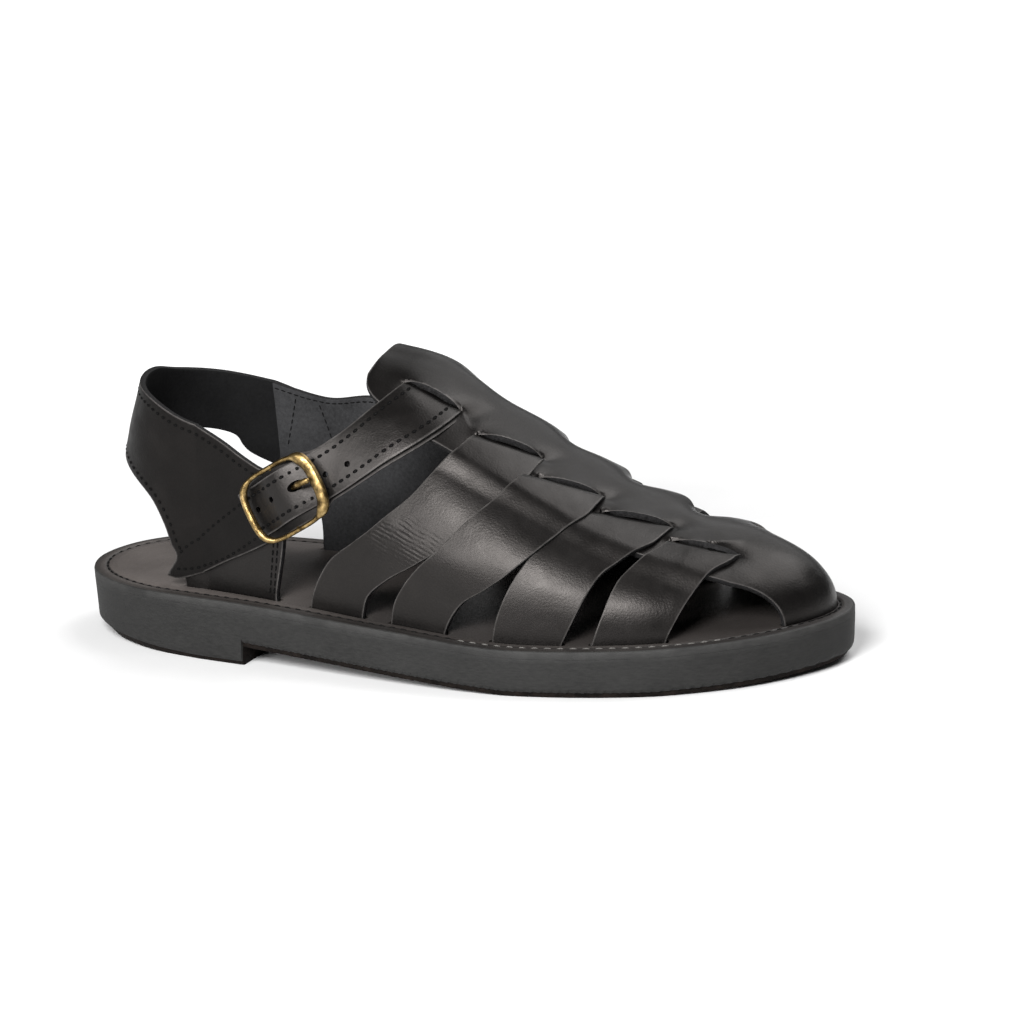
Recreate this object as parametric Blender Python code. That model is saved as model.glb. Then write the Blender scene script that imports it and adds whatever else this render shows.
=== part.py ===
"""Fisherman sandal for the right foot: rubber sole, leather insole, woven leather upper,
heel band and a buckled ankle strap.

Sizes below are in millimetres. x runs from the back of the heel to the toe, y from the
outer (buckle) side at negative values to the inner side, and z up from the floor. The
finished model is in metres, with its origin under the middle of the sole.
"""
import math

import bmesh
import bpy
import numpy as np

MM = 0.001
GAP = 0.3                     # room between pieces that touch on the real sandal
LEATHER = 2.2                 # thickness of the strap leather
INSOLE = 2.5                  # thickness of the leather insole
SEAT = 2.2                    # how far a strap end reaches down into its insole slot
SLOT_ROOM = 0.35              # room between a leather end and the wall of its slot
SLOT_END_ROOM = 0.8           # the same at the two ends of the slot
HEEL_BREAST = 80.0            # where the heel ends and the arch begins
TOE_CENTRE = 240.0            # the toe dome turns round a point on the ridge at this x
HEEL_CENTRE = 62.0            # the heel cup turns round the middle of the foot at this x
HEEL_MIDDLE = -3.0            # y of the middle of the heel cup
HEEL_ROUND = 2.3              # squareness of the heel cup seen from above

# Top edge of the sole seen from above: x, y
SOLE_OUTLINE = [
    (0, 1), (4.5, -15), (16, -28), (36, -38.5), (60, -43.6), (100, -49.6), (135, -54.6),
    (160, -57), (180, -57.4), (200, -55.4), (220, -51.2), (240, -44.4), (258, -34),
    (272, -22.5), (282, -10), (288, 1.5), (290, 12.5), (287.2, 23.5), (280, 32.5),
    (265, 41.8), (240, 48.4), (215, 50.6), (190, 49.3), (160, 43.5), (130, 38.2),
    (100, 36.6), (70, 38), (40, 37.6), (18, 31.5), (5, 19),
]
# x, how far the outer face of the upper stands in from the sole's edge
UPPER_INSET = [(0, 9.5), (50, 11), (100, 9.2), (140, 8.3), (240, 8.3), (265, 7), (290, 6)]
# x, height of the insole's top
INSOLE_TOP = [(0, 23.8), (70, 23.6), (140, 20.5), (195, 16.9), (240, 17.2), (290, 18.6)]
# x, height of the underside from the heel breast through arch and tread to the toe spring
UNDERSIDE = [(80, 6.9), (130, 4.1), (175, 1.0), (196, -0.4), (222, -0.4), (250, 0.4), (296, 2.2)]
# x, y of the last's ridge, height of the ridge over the insole, squareness of the section
LAST = [
    (50, -4, 106, 3.0), (85, -2, 102, 3.0), (105, 1, 89, 2.8), (120, 3, 80.5, 2.5),
    (135, 5, 78, 2.3), (150, 6, 71.5, 2.25), (165, 7, 63, 2.25), (180, 8, 54.5, 2.25),
    (195, 9, 45.5, 2.25), (210, 9.5, 37.5, 2.2), (225, 10, 31, 2.2), (240, 10.5, 26, 2.2),
    (255, 10.5, 24, 2.2), (290, 10.5, 23.5, 2.2),
]
RIDGE, CROWN, SQUARE = 1, 2, 3
# z, x of the inside of the heel band at the very back
HEEL_BACK = [(24, 33.5), (45, 27.5), (56, 25.2), (65, 24.1), (75, 26.2), (93, 32.2), (110, 36.2)]

# The centre strip: x, half width measured over the instep
STRIP_WIDTH = [
    (121, 17), (122.3, 20.8), (124.3, 23.8), (126.8, 26), (129.8, 27.8), (140, 31),
    (150, 33.4), (200, 33), (240, 30), (256, 27),
]
TONGUE_END = 121.0
STRIP_TOE_ANGLE = 31.0        # half the angle over which the strip meets the insole
TOE_START = 256.0
# Slits of the centre strip: rear x, rear distance from the ridge, front x, front distance
SLITS = [
    (133.0, 17.6, 155.2, 16.7), (161.5, 22.6, 182.6, 13.3), (183.4, 24.8, 205.4, 13.8),
    (206.2, 22.9, 229.8, 11.0), (230.8, 20.2, 256.0, 13.7),
]
CENTRE_LIFT = 4.4             # outer face of the centre strip where straps pass under it
TONGUE_LIFT = 5.0             # the same over the ankle strap, which runs free below

# Cross straps: place between ridge (0) and insole (1), rear edge x, front edge x
OUTER_STRAPS = [
    [(1.0, 107.4, 129.7), (0.96, 111.3, 131.8), (0.9, 117, 140), (0.83, 126, 151),
     (0.75, 135.5, 160.5), (0.6, 148.5, 171.5), (0.45, 155.2, 178.0), (0.3, 160.2, 182.2),
     (0.1, 163, 183)],
    [(1.0, 141.3, 162.8), (0.96, 142.6, 165.2), (0.9, 146.7, 169.8), (0.83, 152.8, 178),
     (0.75, 160, 185), (0.6, 169, 193.5), (0.45, 176, 199.6), (0.3, 180.3, 204.6),
     (0.1, 183.4, 205.4)],
    [(1.0, 180.6, 205.2), (0.96, 181.4, 206.8), (0.9, 183, 208.7), (0.83, 185.2, 210.6),
     (0.75, 187.8, 212.5), (0.6, 193, 216), (0.45, 198, 222.3), (0.3, 203.3, 228.2),
     (0.1, 206.2, 229.8)],
    [(1.0, 215.2, 239.1), (0.96, 216.2, 239.9), (0.9, 217.4, 241.2), (0.83, 218.7, 242.6),
     (0.75, 219.8, 244), (0.6, 222, 246.6), (0.45, 226.4, 249.6), (0.3, 230.8, 254.5),
     (0.1, 231.4, 256)],
]
INNER_STRAPS = [
    [(1.0, 146, 170), (0.8, 151, 174.5), (0.6, 156, 178.5), (0.35, 161, 182), (0.1, 163, 182.6)],
    [(1.0, 174, 199), (0.8, 177, 202), (0.6, 180, 204), (0.35, 183.9, 205.2), (0.1, 184, 205.4)],
    [(1.0, 204.5, 230), (0.8, 205.4, 230.5), (0.6, 206, 230.6), (0.35, 207, 229.6),
     (0.1, 207, 229.6)],
    [(1.0, 235.5, 260), (0.8, 234.5, 259), (0.6, 233, 258), (0.35, 231.6, 256.5),
     (0.1, 231.4, 256)],
]
OVERLAP_LIFT = [0.0, 0.9, 0.0, 0.0]   # the second strap lies over its neighbours

# Side view of the heel band on the outer and on the inner side: x, z
BAND_OUTER = [
    (8, 67.5), (27, 66.8), (32.4, 63.5), (41.4, 56.3), (46.7, 47.3), (49.3, 39.8),
    (51.2, 35.5), (46.4, 27.6), (51.6, 27.2), (60.7, 30), (72.8, 35.6), (84.2, 40.7),
    (94.3, 45.8), (102.2, 50.7), (112.3, 57.4), (105.6, 70.2), (91, 70), (83.5, 74),
    (73.6, 79.6), (58.2, 84.8), (44.2, 91), (35.2, 94.8), (24, 95.8), (8, 95.8),
]
BAND_INNER = [
    (8, 67.5), (27, 68.2), (34, 68.6), (46, 65), (48.2, 61.3), (50.6, 58.6),
    (63.3, 53), (73, 49.5), (73, 82.2), (63, 85.6), (47.2, 89), (34.6, 91.6),
    (25.5, 94.6), (8, 95.8),
]
# Side view of the outer side tab and of the inner quarter: x, z
TAB_OUTER = [
    (52.3, 10), (52.3, 30), (54, 45), (57, 60), (90, 60), (97, 50), (92.8, 25), (92.8, 10),
]
QUARTER_INNER = [
    (78.4, 10), (78.6, 34), (76.5, 44), (63.5, 53), (63.3, 86.4), (80, 82), (87.3, 81.2),
    (103, 83), (112, 81), (122, 75), (135, 70), (147, 64), (131.5, 22), (131.5, 10),
]

# The ankle strap lies along a line through the middle of the buckle
BUCKLE_X, BUCKLE_Z = 102.0, 62.4
BUCKLE_ANGLE = 30.0           # degrees above the floor
STRAP_EDGES = (9.2, -8.4)     # the strap's upper and lower edge, from that line
# Along the strap from the buckle's middle, height of the strap's inner face over the last
STRAP_IN_BUCKLE = [
    (-17.5, 5.3), (-14, 5.3), (-10, 5.4), (-6, 6.3), (-3, 7.2), (0, 7.5), (3, 7.2),
    (6, 6.1), (10, 4.2), (14, 2.9), (18, 2.6),
]
# Rear edge x and place, front edge x and place, height over the last, up to the ridge
STRAP_TO_SLIT = [
    (116.4, 0.537, 127, 0.65, 2.6), (122.3, 0.455, 135, 0.573, 2.6),
    (127.9, 0.363, 142, 0.492, 2.6),
    (131.2, 0.3, 148, 0.4, 2.6), (133.4, 0.245, 151.8, 0.315, 2.6),
    (134.2, 0.21, 154, 0.225, 2.6), (134.4, 0.185, 154.4, 0.185, 1.5),
    (134.4, 0.145, 154.5, 0.145, 0.5), (134.4, 0.1, 154.5, 0.1, 0.3),
    (134.4, 0.03, 154.5, 0.03, 0.3),
]
STRAP_INNER_END = [(105, 0.68, 114, 0.8, 2.6), (88, 0.76, 97, 0.87, 2.6)]
HOLES = [(-12.6, 0.9), (-4.5, 1.4), (16.9, 0.2), (25.6, -0.2)]   # along and across the strap
HOLE_RADIUS = 1.1
PRONG_HOLE = (6.8, 1.3)       # the hole in use, along and across the strap
PRONG_HOLE_SIZE = (3.2, 1.8)  # its half length and half width
PRONG_SLANT = 0.1             # the prong leans this share of its length towards the floor

# Buckle, in millimetres along the strap, across it and out from the last
BUCKLE_HALF_LENGTH = 13.8
BUCKLE_HALF_WIDTH = 12.2
BUCKLE_LOW = 0.5              # the frame sits this much lower than the line of the strap
BUCKLE_BOW = 1.2              # how much the two end bars bulge outwards
FRONT_BAR = (2.3, 1.6)        # half width and half height of the front end bar
REAR_BAR = (1.6, 1.5)         # the same for the rear end bar
SIDE_BAR = (1.0, 1.1)         # the same for the thin side bars
BUCKLE_OUT = 8.6              # height of the frame's middle over the last
BUCKLE_TILT = 4.0             # degrees, the rear bar stands further out
CENTRE_BAR_OUT = 5.7
CENTRE_BAR_RADIUS = 0.8
# Prong: along the strap, out from the last, half width, half height
PRONG = [
    (1.3, 5.8, 0.9, 0.7), (2.8, 5.7, 0.9, 0.7), (4.2, 5.7, 0.9, 0.7), (5.6, 6.6, 1.0, 0.8),
    (6.9, 8.2, 1.0, 0.9), (8.2, 9.6, 1.1, 0.9), (9.8, 10.4, 1.1, 0.9), (11.6, 10.6, 1.1, 0.9),
    (13.2, 10.5, 1.1, 0.85), (14.4, 10.2, 0.9, 0.6),
]


def table(rows, x, column=1):
    """Smooth curve through one column of a table, without overshoot between its rows."""
    rows = np.asarray(rows, float)
    t, v = rows[:, 0], rows[:, column]
    x = np.clip(np.asarray(x, float), t[0], t[-1])
    step = np.diff(t)
    slope = np.diff(v) / step
    before = 2 * step[1:] + step[:-1]
    after = step[1:] + 2 * step[:-1]
    rising = slope[:-1] * slope[1:] > 0
    left = np.where(rising, slope[:-1], 1)
    right = np.where(rising, slope[1:], 1)
    tangent = np.zeros(len(t))
    tangent[0], tangent[-1] = slope[0], slope[-1]
    tangent[1:-1] = np.where(rising, (before + after) / (before / left + after / right), 0)
    i = np.clip(np.searchsorted(t, x, side="right") - 1, 0, len(t) - 2)
    u = (x - t[i]) / step[i]
    start = v[i] * (1 + 2 * u) * (1 - u) ** 2 + tangent[i] * step[i] * u * (1 - u) ** 2
    end = v[i + 1] * u * u * (3 - 2 * u) + tangent[i + 1] * step[i] * u * u * (u - 1)
    return start + end


def smooth(value):
    """Ease from 0 to 1 while value goes from 0 to 1."""
    value = np.clip(value, 0, 1)
    return value * value * (3 - 2 * value)


def closed_curve(points, per_span=24):
    """Round closed curve through the points (centripetal Catmull-Rom)."""
    points = np.asarray(points, float)
    ring = np.vstack([points[-1:], points, points[:2]])
    knots = np.r_[0, np.cumsum(np.linalg.norm(np.diff(ring, axis=0), axis=1) ** 0.5)]
    spans = []
    for k in range(len(points)):
        a, b, c, d = ring[k:k + 4]
        ta, tb, tc, td = knots[k:k + 4]
        t = np.linspace(tb, tc, per_span, endpoint=False)[:, None]
        ab = (tb - t) / (tb - ta) * a + (t - ta) / (tb - ta) * b
        bc = (tc - t) / (tc - tb) * b + (t - tb) / (tc - tb) * c
        cd = (td - t) / (td - tc) * c + (t - tc) / (td - tc) * d
        abc = (tc - t) / (tc - ta) * ab + (t - ta) / (tc - ta) * bc
        bcd = (td - t) / (td - tb) * bc + (t - tb) / (td - tb) * cd
        spans.append((tc - t) / (tc - tb) * abc + (t - tb) / (tc - tb) * bcd)
    return np.vstack(spans)


def outward(curve):
    """Unit normals of a closed curve, pointing out of it."""
    along = np.roll(curve, -1, axis=0) - np.roll(curve, 1, axis=0)
    normal = np.c_[along[:, 1], -along[:, 0]]
    normal /= np.linalg.norm(normal, axis=1)[:, None]
    if (normal * (curve - curve.mean(axis=0))).sum() < 0:
        normal = -normal
    return normal


EDGE = closed_curve(SOLE_OUTLINE)
EDGE_OUT = outward(EDGE)
X_MIDDLE = (EDGE[:, 0].min() + EDGE[:, 0].max()) / 2
Y_MIDDLE = (EDGE[:, 1].min() + EDGE[:, 1].max()) / 2
# The line where the last meets the insole, just inside the upper's leather
FEATHER = EDGE - EDGE_OUT * (table(UPPER_INSET, EDGE[:, 0]) + LEATHER)[:, None]


def feather_runs():
    """The feather line as an outer and an inner run, both from heel to toe."""
    heel, toe = FEATHER[:, 0].argmin(), FEATHER[:, 0].argmax()
    ring = np.roll(FEATHER, -heel, axis=0)
    toe = (toe - heel) % len(ring)
    outer = ring[:toe + 1]
    inner = np.vstack([ring[toe:], ring[:1]])[::-1]
    return outer, inner


FEATHER_OUTER, FEATHER_INNER = feather_runs()


def feather(x, place):
    """y of the feather line, on the outer side where place is negative."""
    outer = np.interp(x, FEATHER_OUTER[:, 0], FEATHER_OUTER[:, 1])
    inner = np.interp(x, FEATHER_INNER[:, 0], FEATHER_INNER[:, 1])
    return np.where(np.asarray(place) < 0, outer, inner)


def toe_reach(angle):
    """Distance from the toe dome's centre to the feather line in a direction."""
    ridge = float(table(LAST, TOE_CENTRE, RIDGE))
    away = FEATHER - (TOE_CENTRE, ridge)
    front = away[:, 0] > -8
    bearing = np.arctan2(away[front, 1], away[front, 0])
    order = np.argsort(bearing)
    return np.interp(angle, bearing[order], np.hypot(*away[front].T)[order])


def last_share(x, y):
    """How far a point of the floor lies from the ridge (0) to the feather line (1).

    In front of the toe centre the share is measured along rays, so the toe is a dome.
    """
    ridge = table(LAST, x, RIDGE)
    share = np.abs(y - ridge) / np.abs(feather(x, y - ridge) - ridge)
    toe_ridge = float(table(LAST, TOE_CENTRE, RIDGE))
    angle = np.arctan2(y - toe_ridge, np.maximum(x - TOE_CENTRE, 1e-9))
    ray_share = np.hypot(x - TOE_CENTRE, y - toe_ridge) / toe_reach(angle)
    return np.where(x > TOE_CENTRE, ray_share, share)


def last_height(x, y):
    """Height of the last over a point of the floor: each section is a superellipse."""
    share = np.clip(last_share(x, y), 0, 1)
    power = table(LAST, x, SQUARE)
    return table(INSOLE_TOP, x) + table(LAST, x, CROWN) * (1 - share ** power) ** (1 / power)


def last_level(points):
    """1 on the surface of the last, less inside it and more outside."""
    x, y, z = points[..., 0], points[..., 1], points[..., 2]
    power = table(LAST, x, SQUARE)
    rise = np.clip((z - table(INSOLE_TOP, x)) / table(LAST, x, CROWN), 0, None)
    return last_share(x, y) ** power + rise ** power


def last_normals(points):
    """Unit normals of the last at points on it, level below the feather line."""
    step = 0.2
    slopes = []
    for axis in np.eye(3):
        slopes.append(last_level(points + step * axis) - last_level(points - step * axis))
    normal = np.stack(slopes, axis=-1)
    return normal / np.linalg.norm(normal, axis=-1)[..., None]


def on_last(x, place):
    """Points of the last. place is -1 and 1 on the outer and inner feather line, 0 on the ridge."""
    x, place = np.broadcast_arrays(np.asarray(x, float), np.asarray(place, float))
    ridge = table(LAST, x, RIDGE)
    power = table(LAST, x, SQUARE)
    swing = np.sin(np.abs(place) * math.pi / 2) ** (2 / power)
    y = ridge + (feather(x, place) - ridge) * swing
    return np.stack([x, y, last_height(x, y)], axis=-1)


def place_at(x, z):
    """The place value at which the last reaches height z (a positive number)."""
    share = (z - table(INSOLE_TOP, x)) / table(LAST, x, CROWN)
    share = np.clip(share, 0, 1)
    return np.arccos(share ** (table(LAST, x, SQUARE) / 2)) * 2 / math.pi


def wall(x, z, side):
    """Points of the last's side wall by length and height; side is -1 outer, 1 inner."""
    x, z = np.broadcast_arrays(np.asarray(x, float), np.asarray(z, float))
    ridge = table(LAST, x, RIDGE)
    power = table(LAST, x, SQUARE)
    share = np.clip((z - table(INSOLE_TOP, x)) / table(LAST, x, CROWN), 0, 1)
    y = ridge + (feather(x, side) - ridge) * (1 - share ** power) ** (1 / power)
    return np.stack([x, y, z], axis=-1)


def heel_cup(turn, z):
    """Wall round the heel: turn is -1..1 round the back, beyond that 45 mm of wall a unit."""
    turn, z = np.broadcast_arrays(np.asarray(turn, float), np.asarray(z, float))
    angle = np.clip(np.abs(turn), 0, 1) * math.pi / 2
    ahead = HEEL_CENTRE + np.maximum(np.abs(turn) - 1, 0) * 45
    side = wall(ahead, z, np.where(turn < 0, -1, 1))
    depth = HEEL_CENTRE - table(HEEL_BACK, z)
    x = np.where(np.abs(turn) < 1, HEEL_CENTRE - depth * np.cos(angle) ** (2 / HEEL_ROUND), ahead)
    spread = np.sin(angle) ** (2 / HEEL_ROUND)
    y = HEEL_MIDDLE + (side[..., 1] - HEEL_MIDDLE) * spread
    y = np.where(np.abs(turn) < 1, y, side[..., 1])
    return np.stack([x, y, z], axis=-1)


def turn_at(x):
    """The turn value (positive) at which the heel wall reaches a length x beyond the cup."""
    return 1 + (x - HEEL_CENTRE) / 45


def arc_to_y(x, distance):
    """y at which the surface of the last lies a distance from the ridge, inner side positive."""
    places = np.r_[-np.linspace(1, 0, 120) ** 1.5, (np.linspace(0, 1, 120) ** 1.5)[1:]]
    section = on_last(np.full(len(places), x), places)
    steps = np.linalg.norm(np.diff(section, axis=0), axis=1)
    length = np.r_[0, np.cumsum(steps)]
    length -= length[119]
    return np.interp(distance, length, section[:, 1])


def cup_normals(grid):
    """Unit normals of a grid round the heel, pointing away from the foot."""
    across = np.gradient(grid, axis=0)
    along = np.gradient(grid, axis=1)
    normal = np.cross(across, along)
    normal /= np.linalg.norm(normal, axis=2)[..., None]
    centre = np.stack([grid[..., 0].clip(60, None), 0 * grid[..., 1] + HEEL_MIDDLE, grid[..., 2]], -1)
    if ((grid - centre) * normal).sum() < 0:
        normal = -normal
    return normal


def lifted(grid, height, normals=last_normals):
    """The grid moved out along its normals."""
    return grid + normals(grid) * np.broadcast_to(height, grid.shape[:2])[..., None]


def new_object(name, vertices, faces):
    """A mesh object from millimetre points, with its faces turned outwards."""
    place = (np.asarray(vertices, float) - (X_MIDDLE, Y_MIDDLE, 0)) * MM
    mesh = bpy.data.meshes.new(name)
    mesh.from_pydata(place.tolist(), [], [tuple(int(i) for i in face) for face in faces])
    work = bmesh.new()
    work.from_mesh(mesh)
    bmesh.ops.remove_doubles(work, verts=work.verts, dist=0.00001)
    bmesh.ops.recalc_face_normals(work, faces=work.faces)
    work.to_mesh(mesh)
    work.free()
    item = bpy.data.objects.new(name, mesh)
    bpy.context.scene.collection.objects.link(item)
    return item


def grid_faces(rows, columns, start=0):
    """Faces of a grid whose points are numbered row by row."""
    row, column = np.meshgrid(np.arange(rows - 1), np.arange(columns - 1), indexing="ij")
    first = (row * columns + column).ravel() + start
    return np.stack([first, first + 1, first + columns + 1, first + columns], axis=1)


def sheet(name, inner, outer):
    """A closed solid between two grids of the same size."""
    rows, columns = inner.shape[:2]
    count = rows * columns
    vertices = np.vstack([inner.reshape(-1, 3), outer.reshape(-1, 3)])
    index = np.arange(count).reshape(rows, columns)
    border = np.r_[index[0, :-1], index[:-1, -1], index[-1, :0:-1], index[:0:-1, 0]]
    following = np.roll(border, -1)
    rim = np.stack([border, following, following + count, border + count], axis=1)
    faces = np.vstack([grid_faces(rows, columns), grid_faces(rows, columns, count), rim])
    return new_object(name, vertices, faces)


def ring_stack(name, rings):
    """A solid from closed rings of points, capped by strips from side to side."""
    count = len(rings[0])
    vertices = np.vstack(rings)
    faces = []
    for level in range(len(rings) - 1):
        low = level * count + np.arange(count)
        high = level * count + np.roll(np.arange(count), -1)
        faces.append(np.stack([low, high, high + count, low + count], axis=1))
    left = np.arange(count // 2)
    right = (count - left) % count
    cap = np.stack([left, left + 1, right - 1, right], axis=1)
    cap[0, 3] = 0
    cap[0, 2] = count - 1
    faces = [tuple(face) for block in faces for face in block]
    for base in (0, (len(rings) - 1) * count):
        for face in cap:
            corners = list(dict.fromkeys(int(i) + base for i in face))
            faces.append(tuple(corners))
    return new_object(name, vertices, faces)


def side_prism(name, profile, y_low, y_high):
    """A cutter: a side view outline pulled out across the shoe."""
    profile = np.asarray(profile, float)
    count = len(profile)
    near = np.c_[profile[:, 0], np.full(count, y_low), profile[:, 1]]
    far = np.c_[profile[:, 0], np.full(count, y_high), profile[:, 1]]
    index = np.arange(count)
    following = np.roll(index, -1)
    faces = [tuple(index), tuple(index + count)]
    faces += [tuple(f) for f in np.stack([index, following, following + count, index + count], 1)]
    return new_object(name, np.vstack([near, far]), faces)


def combine(target, other, operation):
    """Join, cut or intersect the target with another object, which is used up."""
    modifier = target.modifiers.new(operation.lower(), "BOOLEAN")
    modifier.operation = operation
    modifier.solver = "EXACT"
    modifier.object = other
    graph = bpy.context.evaluated_depsgraph_get()
    result = bpy.data.meshes.new_from_object(target.evaluated_get(graph))
    target.modifiers.clear()
    old = target.data
    target.data = result
    result.name = target.name
    bpy.data.meshes.remove(old)
    spare = other.data
    bpy.data.objects.remove(other)
    bpy.data.meshes.remove(spare)


def drop_offcuts(work):
    """Remove the slivers that a cut leaves beside the piece itself."""
    bodies = []
    left = set(work.verts)
    while left:
        front = [left.pop()]
        body = list(front)
        while front:
            vertex = front.pop()
            near = {edge.other_vert(vertex) for edge in vertex.link_edges} & left
            left -= near
            front += near
            body += near
        bodies.append(body)
    bodies.sort(key=len)
    for body in bodies[:-1]:
        bmesh.ops.delete(work, geom=body, context="VERTS")


def finish(item, material, sharp_degrees=35):
    """Clean the mesh, shade it smooth between sharp edges and give it its material."""
    work = bmesh.new()
    work.from_mesh(item.data)
    drop_offcuts(work)
    bmesh.ops.remove_doubles(work, verts=work.verts, dist=0.00001)
    bmesh.ops.dissolve_degenerate(work, edges=work.edges, dist=0.00001)
    bmesh.ops.triangulate(work, faces=work.faces)
    work.to_mesh(item.data)
    work.free()
    item.data.shade_smooth()
    item.data.set_sharp_from_angle(angle=math.radians(sharp_degrees))
    item.data.materials.clear()
    item.data.materials.append(material)


def make_material(name, colour, roughness, metallic=0.0):
    """A plain surface with a colour, a roughness and, on the buckle, metal."""
    material = bpy.data.materials.new(name)
    material.use_nodes = True
    shader = material.node_tree.nodes["Principled BSDF"]
    shader.inputs["Base Color"].default_value = (*colour, 1)
    shader.inputs["Roughness"].default_value = roughness
    shader.inputs["Metallic"].default_value = metallic
    return material


def sole_ring(inset, height, count=96):
    """A ring round the sole, set in from its edge, at a height that follows its length."""
    length = np.r_[0, np.cumsum(np.linalg.norm(np.diff(EDGE, axis=0), axis=1))]
    toe = EDGE[:, 0].argmax()
    even = np.linspace(0, 1, count // 2, endpoint=False)
    denser_at_ends = 0.5 - 0.5 * np.cos(even * math.pi)
    share = (even + denser_at_ends) / 2
    total = length[-1] + np.linalg.norm(EDGE[-1] - EDGE[0])
    wanted = np.r_[share * length[toe], length[toe] + share * (total - length[toe])]
    ring_length = np.r_[length, total]
    closed = np.vstack([EDGE, EDGE[:1]])
    out = np.vstack([EDGE_OUT, EDGE_OUT[:1]])
    x = np.interp(wanted, ring_length, closed[:, 0])
    y = np.interp(wanted, ring_length, closed[:, 1])
    nx = np.interp(wanted, ring_length, out[:, 0])
    ny = np.interp(wanted, ring_length, out[:, 1])
    inset = inset(x) if callable(inset) else inset
    return np.c_[x - nx * inset, y - ny * inset, height(x)]


def outsole():
    """Rubber sole: side wall with a rounded heel and toe edge, arch and heel breast."""
    taper = 0.8
    heel_round = 5.0
    toe_round = 2.0

    def ends(x):
        """How far the bottom edge is rounded off: most at the heel's back, less at the toe."""
        heel = heel_round * np.clip(1 - x / 48, 0, 1) ** 1.4
        toe = toe_round * np.clip((x - 262) / 28, 0, 1) ** 1.2
        return heel + toe

    def top(x):
        return table(INSOLE_TOP, x) - INSOLE - GAP

    rings = [
        sole_ring(lambda x: taper + 0.5 + ends(x), lambda x: 0 * x),
        sole_ring(lambda x: taper + 0.5 * ends(x), lambda x: 0 * x + 2.2),
        sole_ring(lambda x: taper * 0.7 + 0.12 * ends(x), lambda x: 0 * x + 5.5),
        sole_ring(0.1, lambda x: top(x) - 1.2),
        sole_ring(0.5, top),
    ]
    item = ring_stack("outsole", rings)
    x = np.linspace(UNDERSIDE[0][0], UNDERSIDE[-1][0], 34)
    arch = [(HEEL_BREAST, -8)] + list(zip(x, table(UNDERSIDE, x))) + [(x[-1], -8)]
    combine(item, side_prism("arch_cutter", arch, -90, 90), "DIFFERENCE")
    return item


def insole_blank():
    """Leather insole, as wide as the sole, with eased edges."""
    def at(drop):
        return lambda x: table(INSOLE_TOP, x) - drop
    rings = [
        sole_ring(0.7, at(INSOLE)),
        sole_ring(0.1, at(INSOLE - 0.6)),
        sole_ring(0.1, at(0.7)),
        sole_ring(0.9, at(0)),
    ]
    return ring_stack("insole", rings)


def with_seat(grid, at_end):
    """Add a row that goes straight down from the feather line into the insole."""
    base = grid[-1] if at_end else grid[0]
    down = base - (0, 0, SEAT)
    return np.vstack([grid, down[None]]) if at_end else np.vstack([down[None], grid])


def slot_cutter(name, base, out):
    """Room for a leather end in the insole, from the end's base line and its normals."""
    base, out = base.copy(), out.copy()
    out[:, 2] = 0
    out /= np.linalg.norm(out, axis=1)[:, None]
    for end, inner in ((0, 1), (-1, -2)):
        away = base[end] - base[inner]
        base[end] += away / np.linalg.norm(away) * SLOT_END_ROOM
    low = base - (0, 0, INSOLE + 2)
    high = base + (0, 0, 2)
    grid = np.stack([low, high])
    return sheet(name, grid - out * SLOT_ROOM, grid + out * (LEATHER + SLOT_ROOM))


def slit_line(x):
    """Distance from the ridge to the slits, and a zigzag from one slit to the next."""
    knots = [(TONGUE_END, 12), (TONGUE_END + 8, SLITS[0][1] - 1)]
    for rear_x, rear, front_x, front in SLITS:
        knots += [(rear_x, rear), (front_x, front)]
    knots.append((SLITS[-1][2] + 6, SLITS[-1][3] + 3))
    knots = np.array(knots)
    return np.interp(x, knots[:, 0], knots[:, 1])


def centre_strip():
    """Centre strip from tongue to toe: raised between its slits, thin at its margins.

    Columns run from the outer margin over the ridge to the inner margin, and two of them on
    each side lie close together on the slit line, so the raised part has a real edge.
    """
    step = 0.8                # between the two columns at the slit line
    stations = [TONGUE_END, 122.3, 124.3, 126.8, 129.8, 132.4]
    for rear_x, _, front_x, _ in SLITS:
        stations += list(np.linspace(rear_x, front_x, 5))
    stations = np.array(stations)
    # Columns as shares of the margin's width and of the raised part's half width
    margin = np.array([0.0, 0.5, 1.0])
    middle = np.array([-0.98, -0.66, -0.33, 0.0, 0.33, 0.66, 0.98])
    rows = []
    for x in stations:
        half = float(table(STRIP_WIDTH, x))
        slit = float(slit_line(x))
        out = slit + step + (half - slit - step) * margin
        reach = np.r_[-out[::-1], middle * slit, out]
        y = arc_to_y(x, reach)
        rows.append(np.c_[0 * y + x, y])
    plan = np.array(rows)
    start = plan[-1]
    # The last row's columns spread over the toe's arc and run straight to the insole
    ridge = float(table(LAST, TOE_CENTRE, RIDGE))
    angle = np.radians(STRIP_TOE_ANGLE) * reach / half
    reach = toe_reach(angle)
    goal = np.c_[TOE_CENTRE + reach * np.cos(angle), ridge + reach * np.sin(angle)]
    toe_steps = np.sin(np.linspace(0, 1, 9)[1:] * math.pi / 2)
    toe = start + (goal - start) * toe_steps[:, None, None]
    plan = np.vstack([plan, toe])
    grid = np.dstack([plan, last_height(plan[..., 0], plan[..., 1])])
    raised = np.zeros(grid.shape[:2])
    raised[:, len(margin):-len(margin)] = 1
    x = grid[..., 0]
    front = 1 - smooth((x - TOE_START) / 16)
    lift = np.where(x < SLITS[0][2] + 3, TONGUE_LIFT, CENTRE_LIFT) - LEATHER
    outer_height = LEATHER + lift * raised * front
    behind = smooth((SLITS[0][0] - 0.5 - x) / 3)
    inner_height = (TONGUE_LIFT - LEATHER) * raised * behind
    grid = with_seat(grid, True)
    inner_height = np.vstack([inner_height, inner_height[-1:]])
    outer_height = np.vstack([outer_height, outer_height[-1:]])
    item = sheet("upper", lifted(grid, inner_height), lifted(grid, outer_height))
    return item, grid[-2], last_normals(grid[-1])


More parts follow.
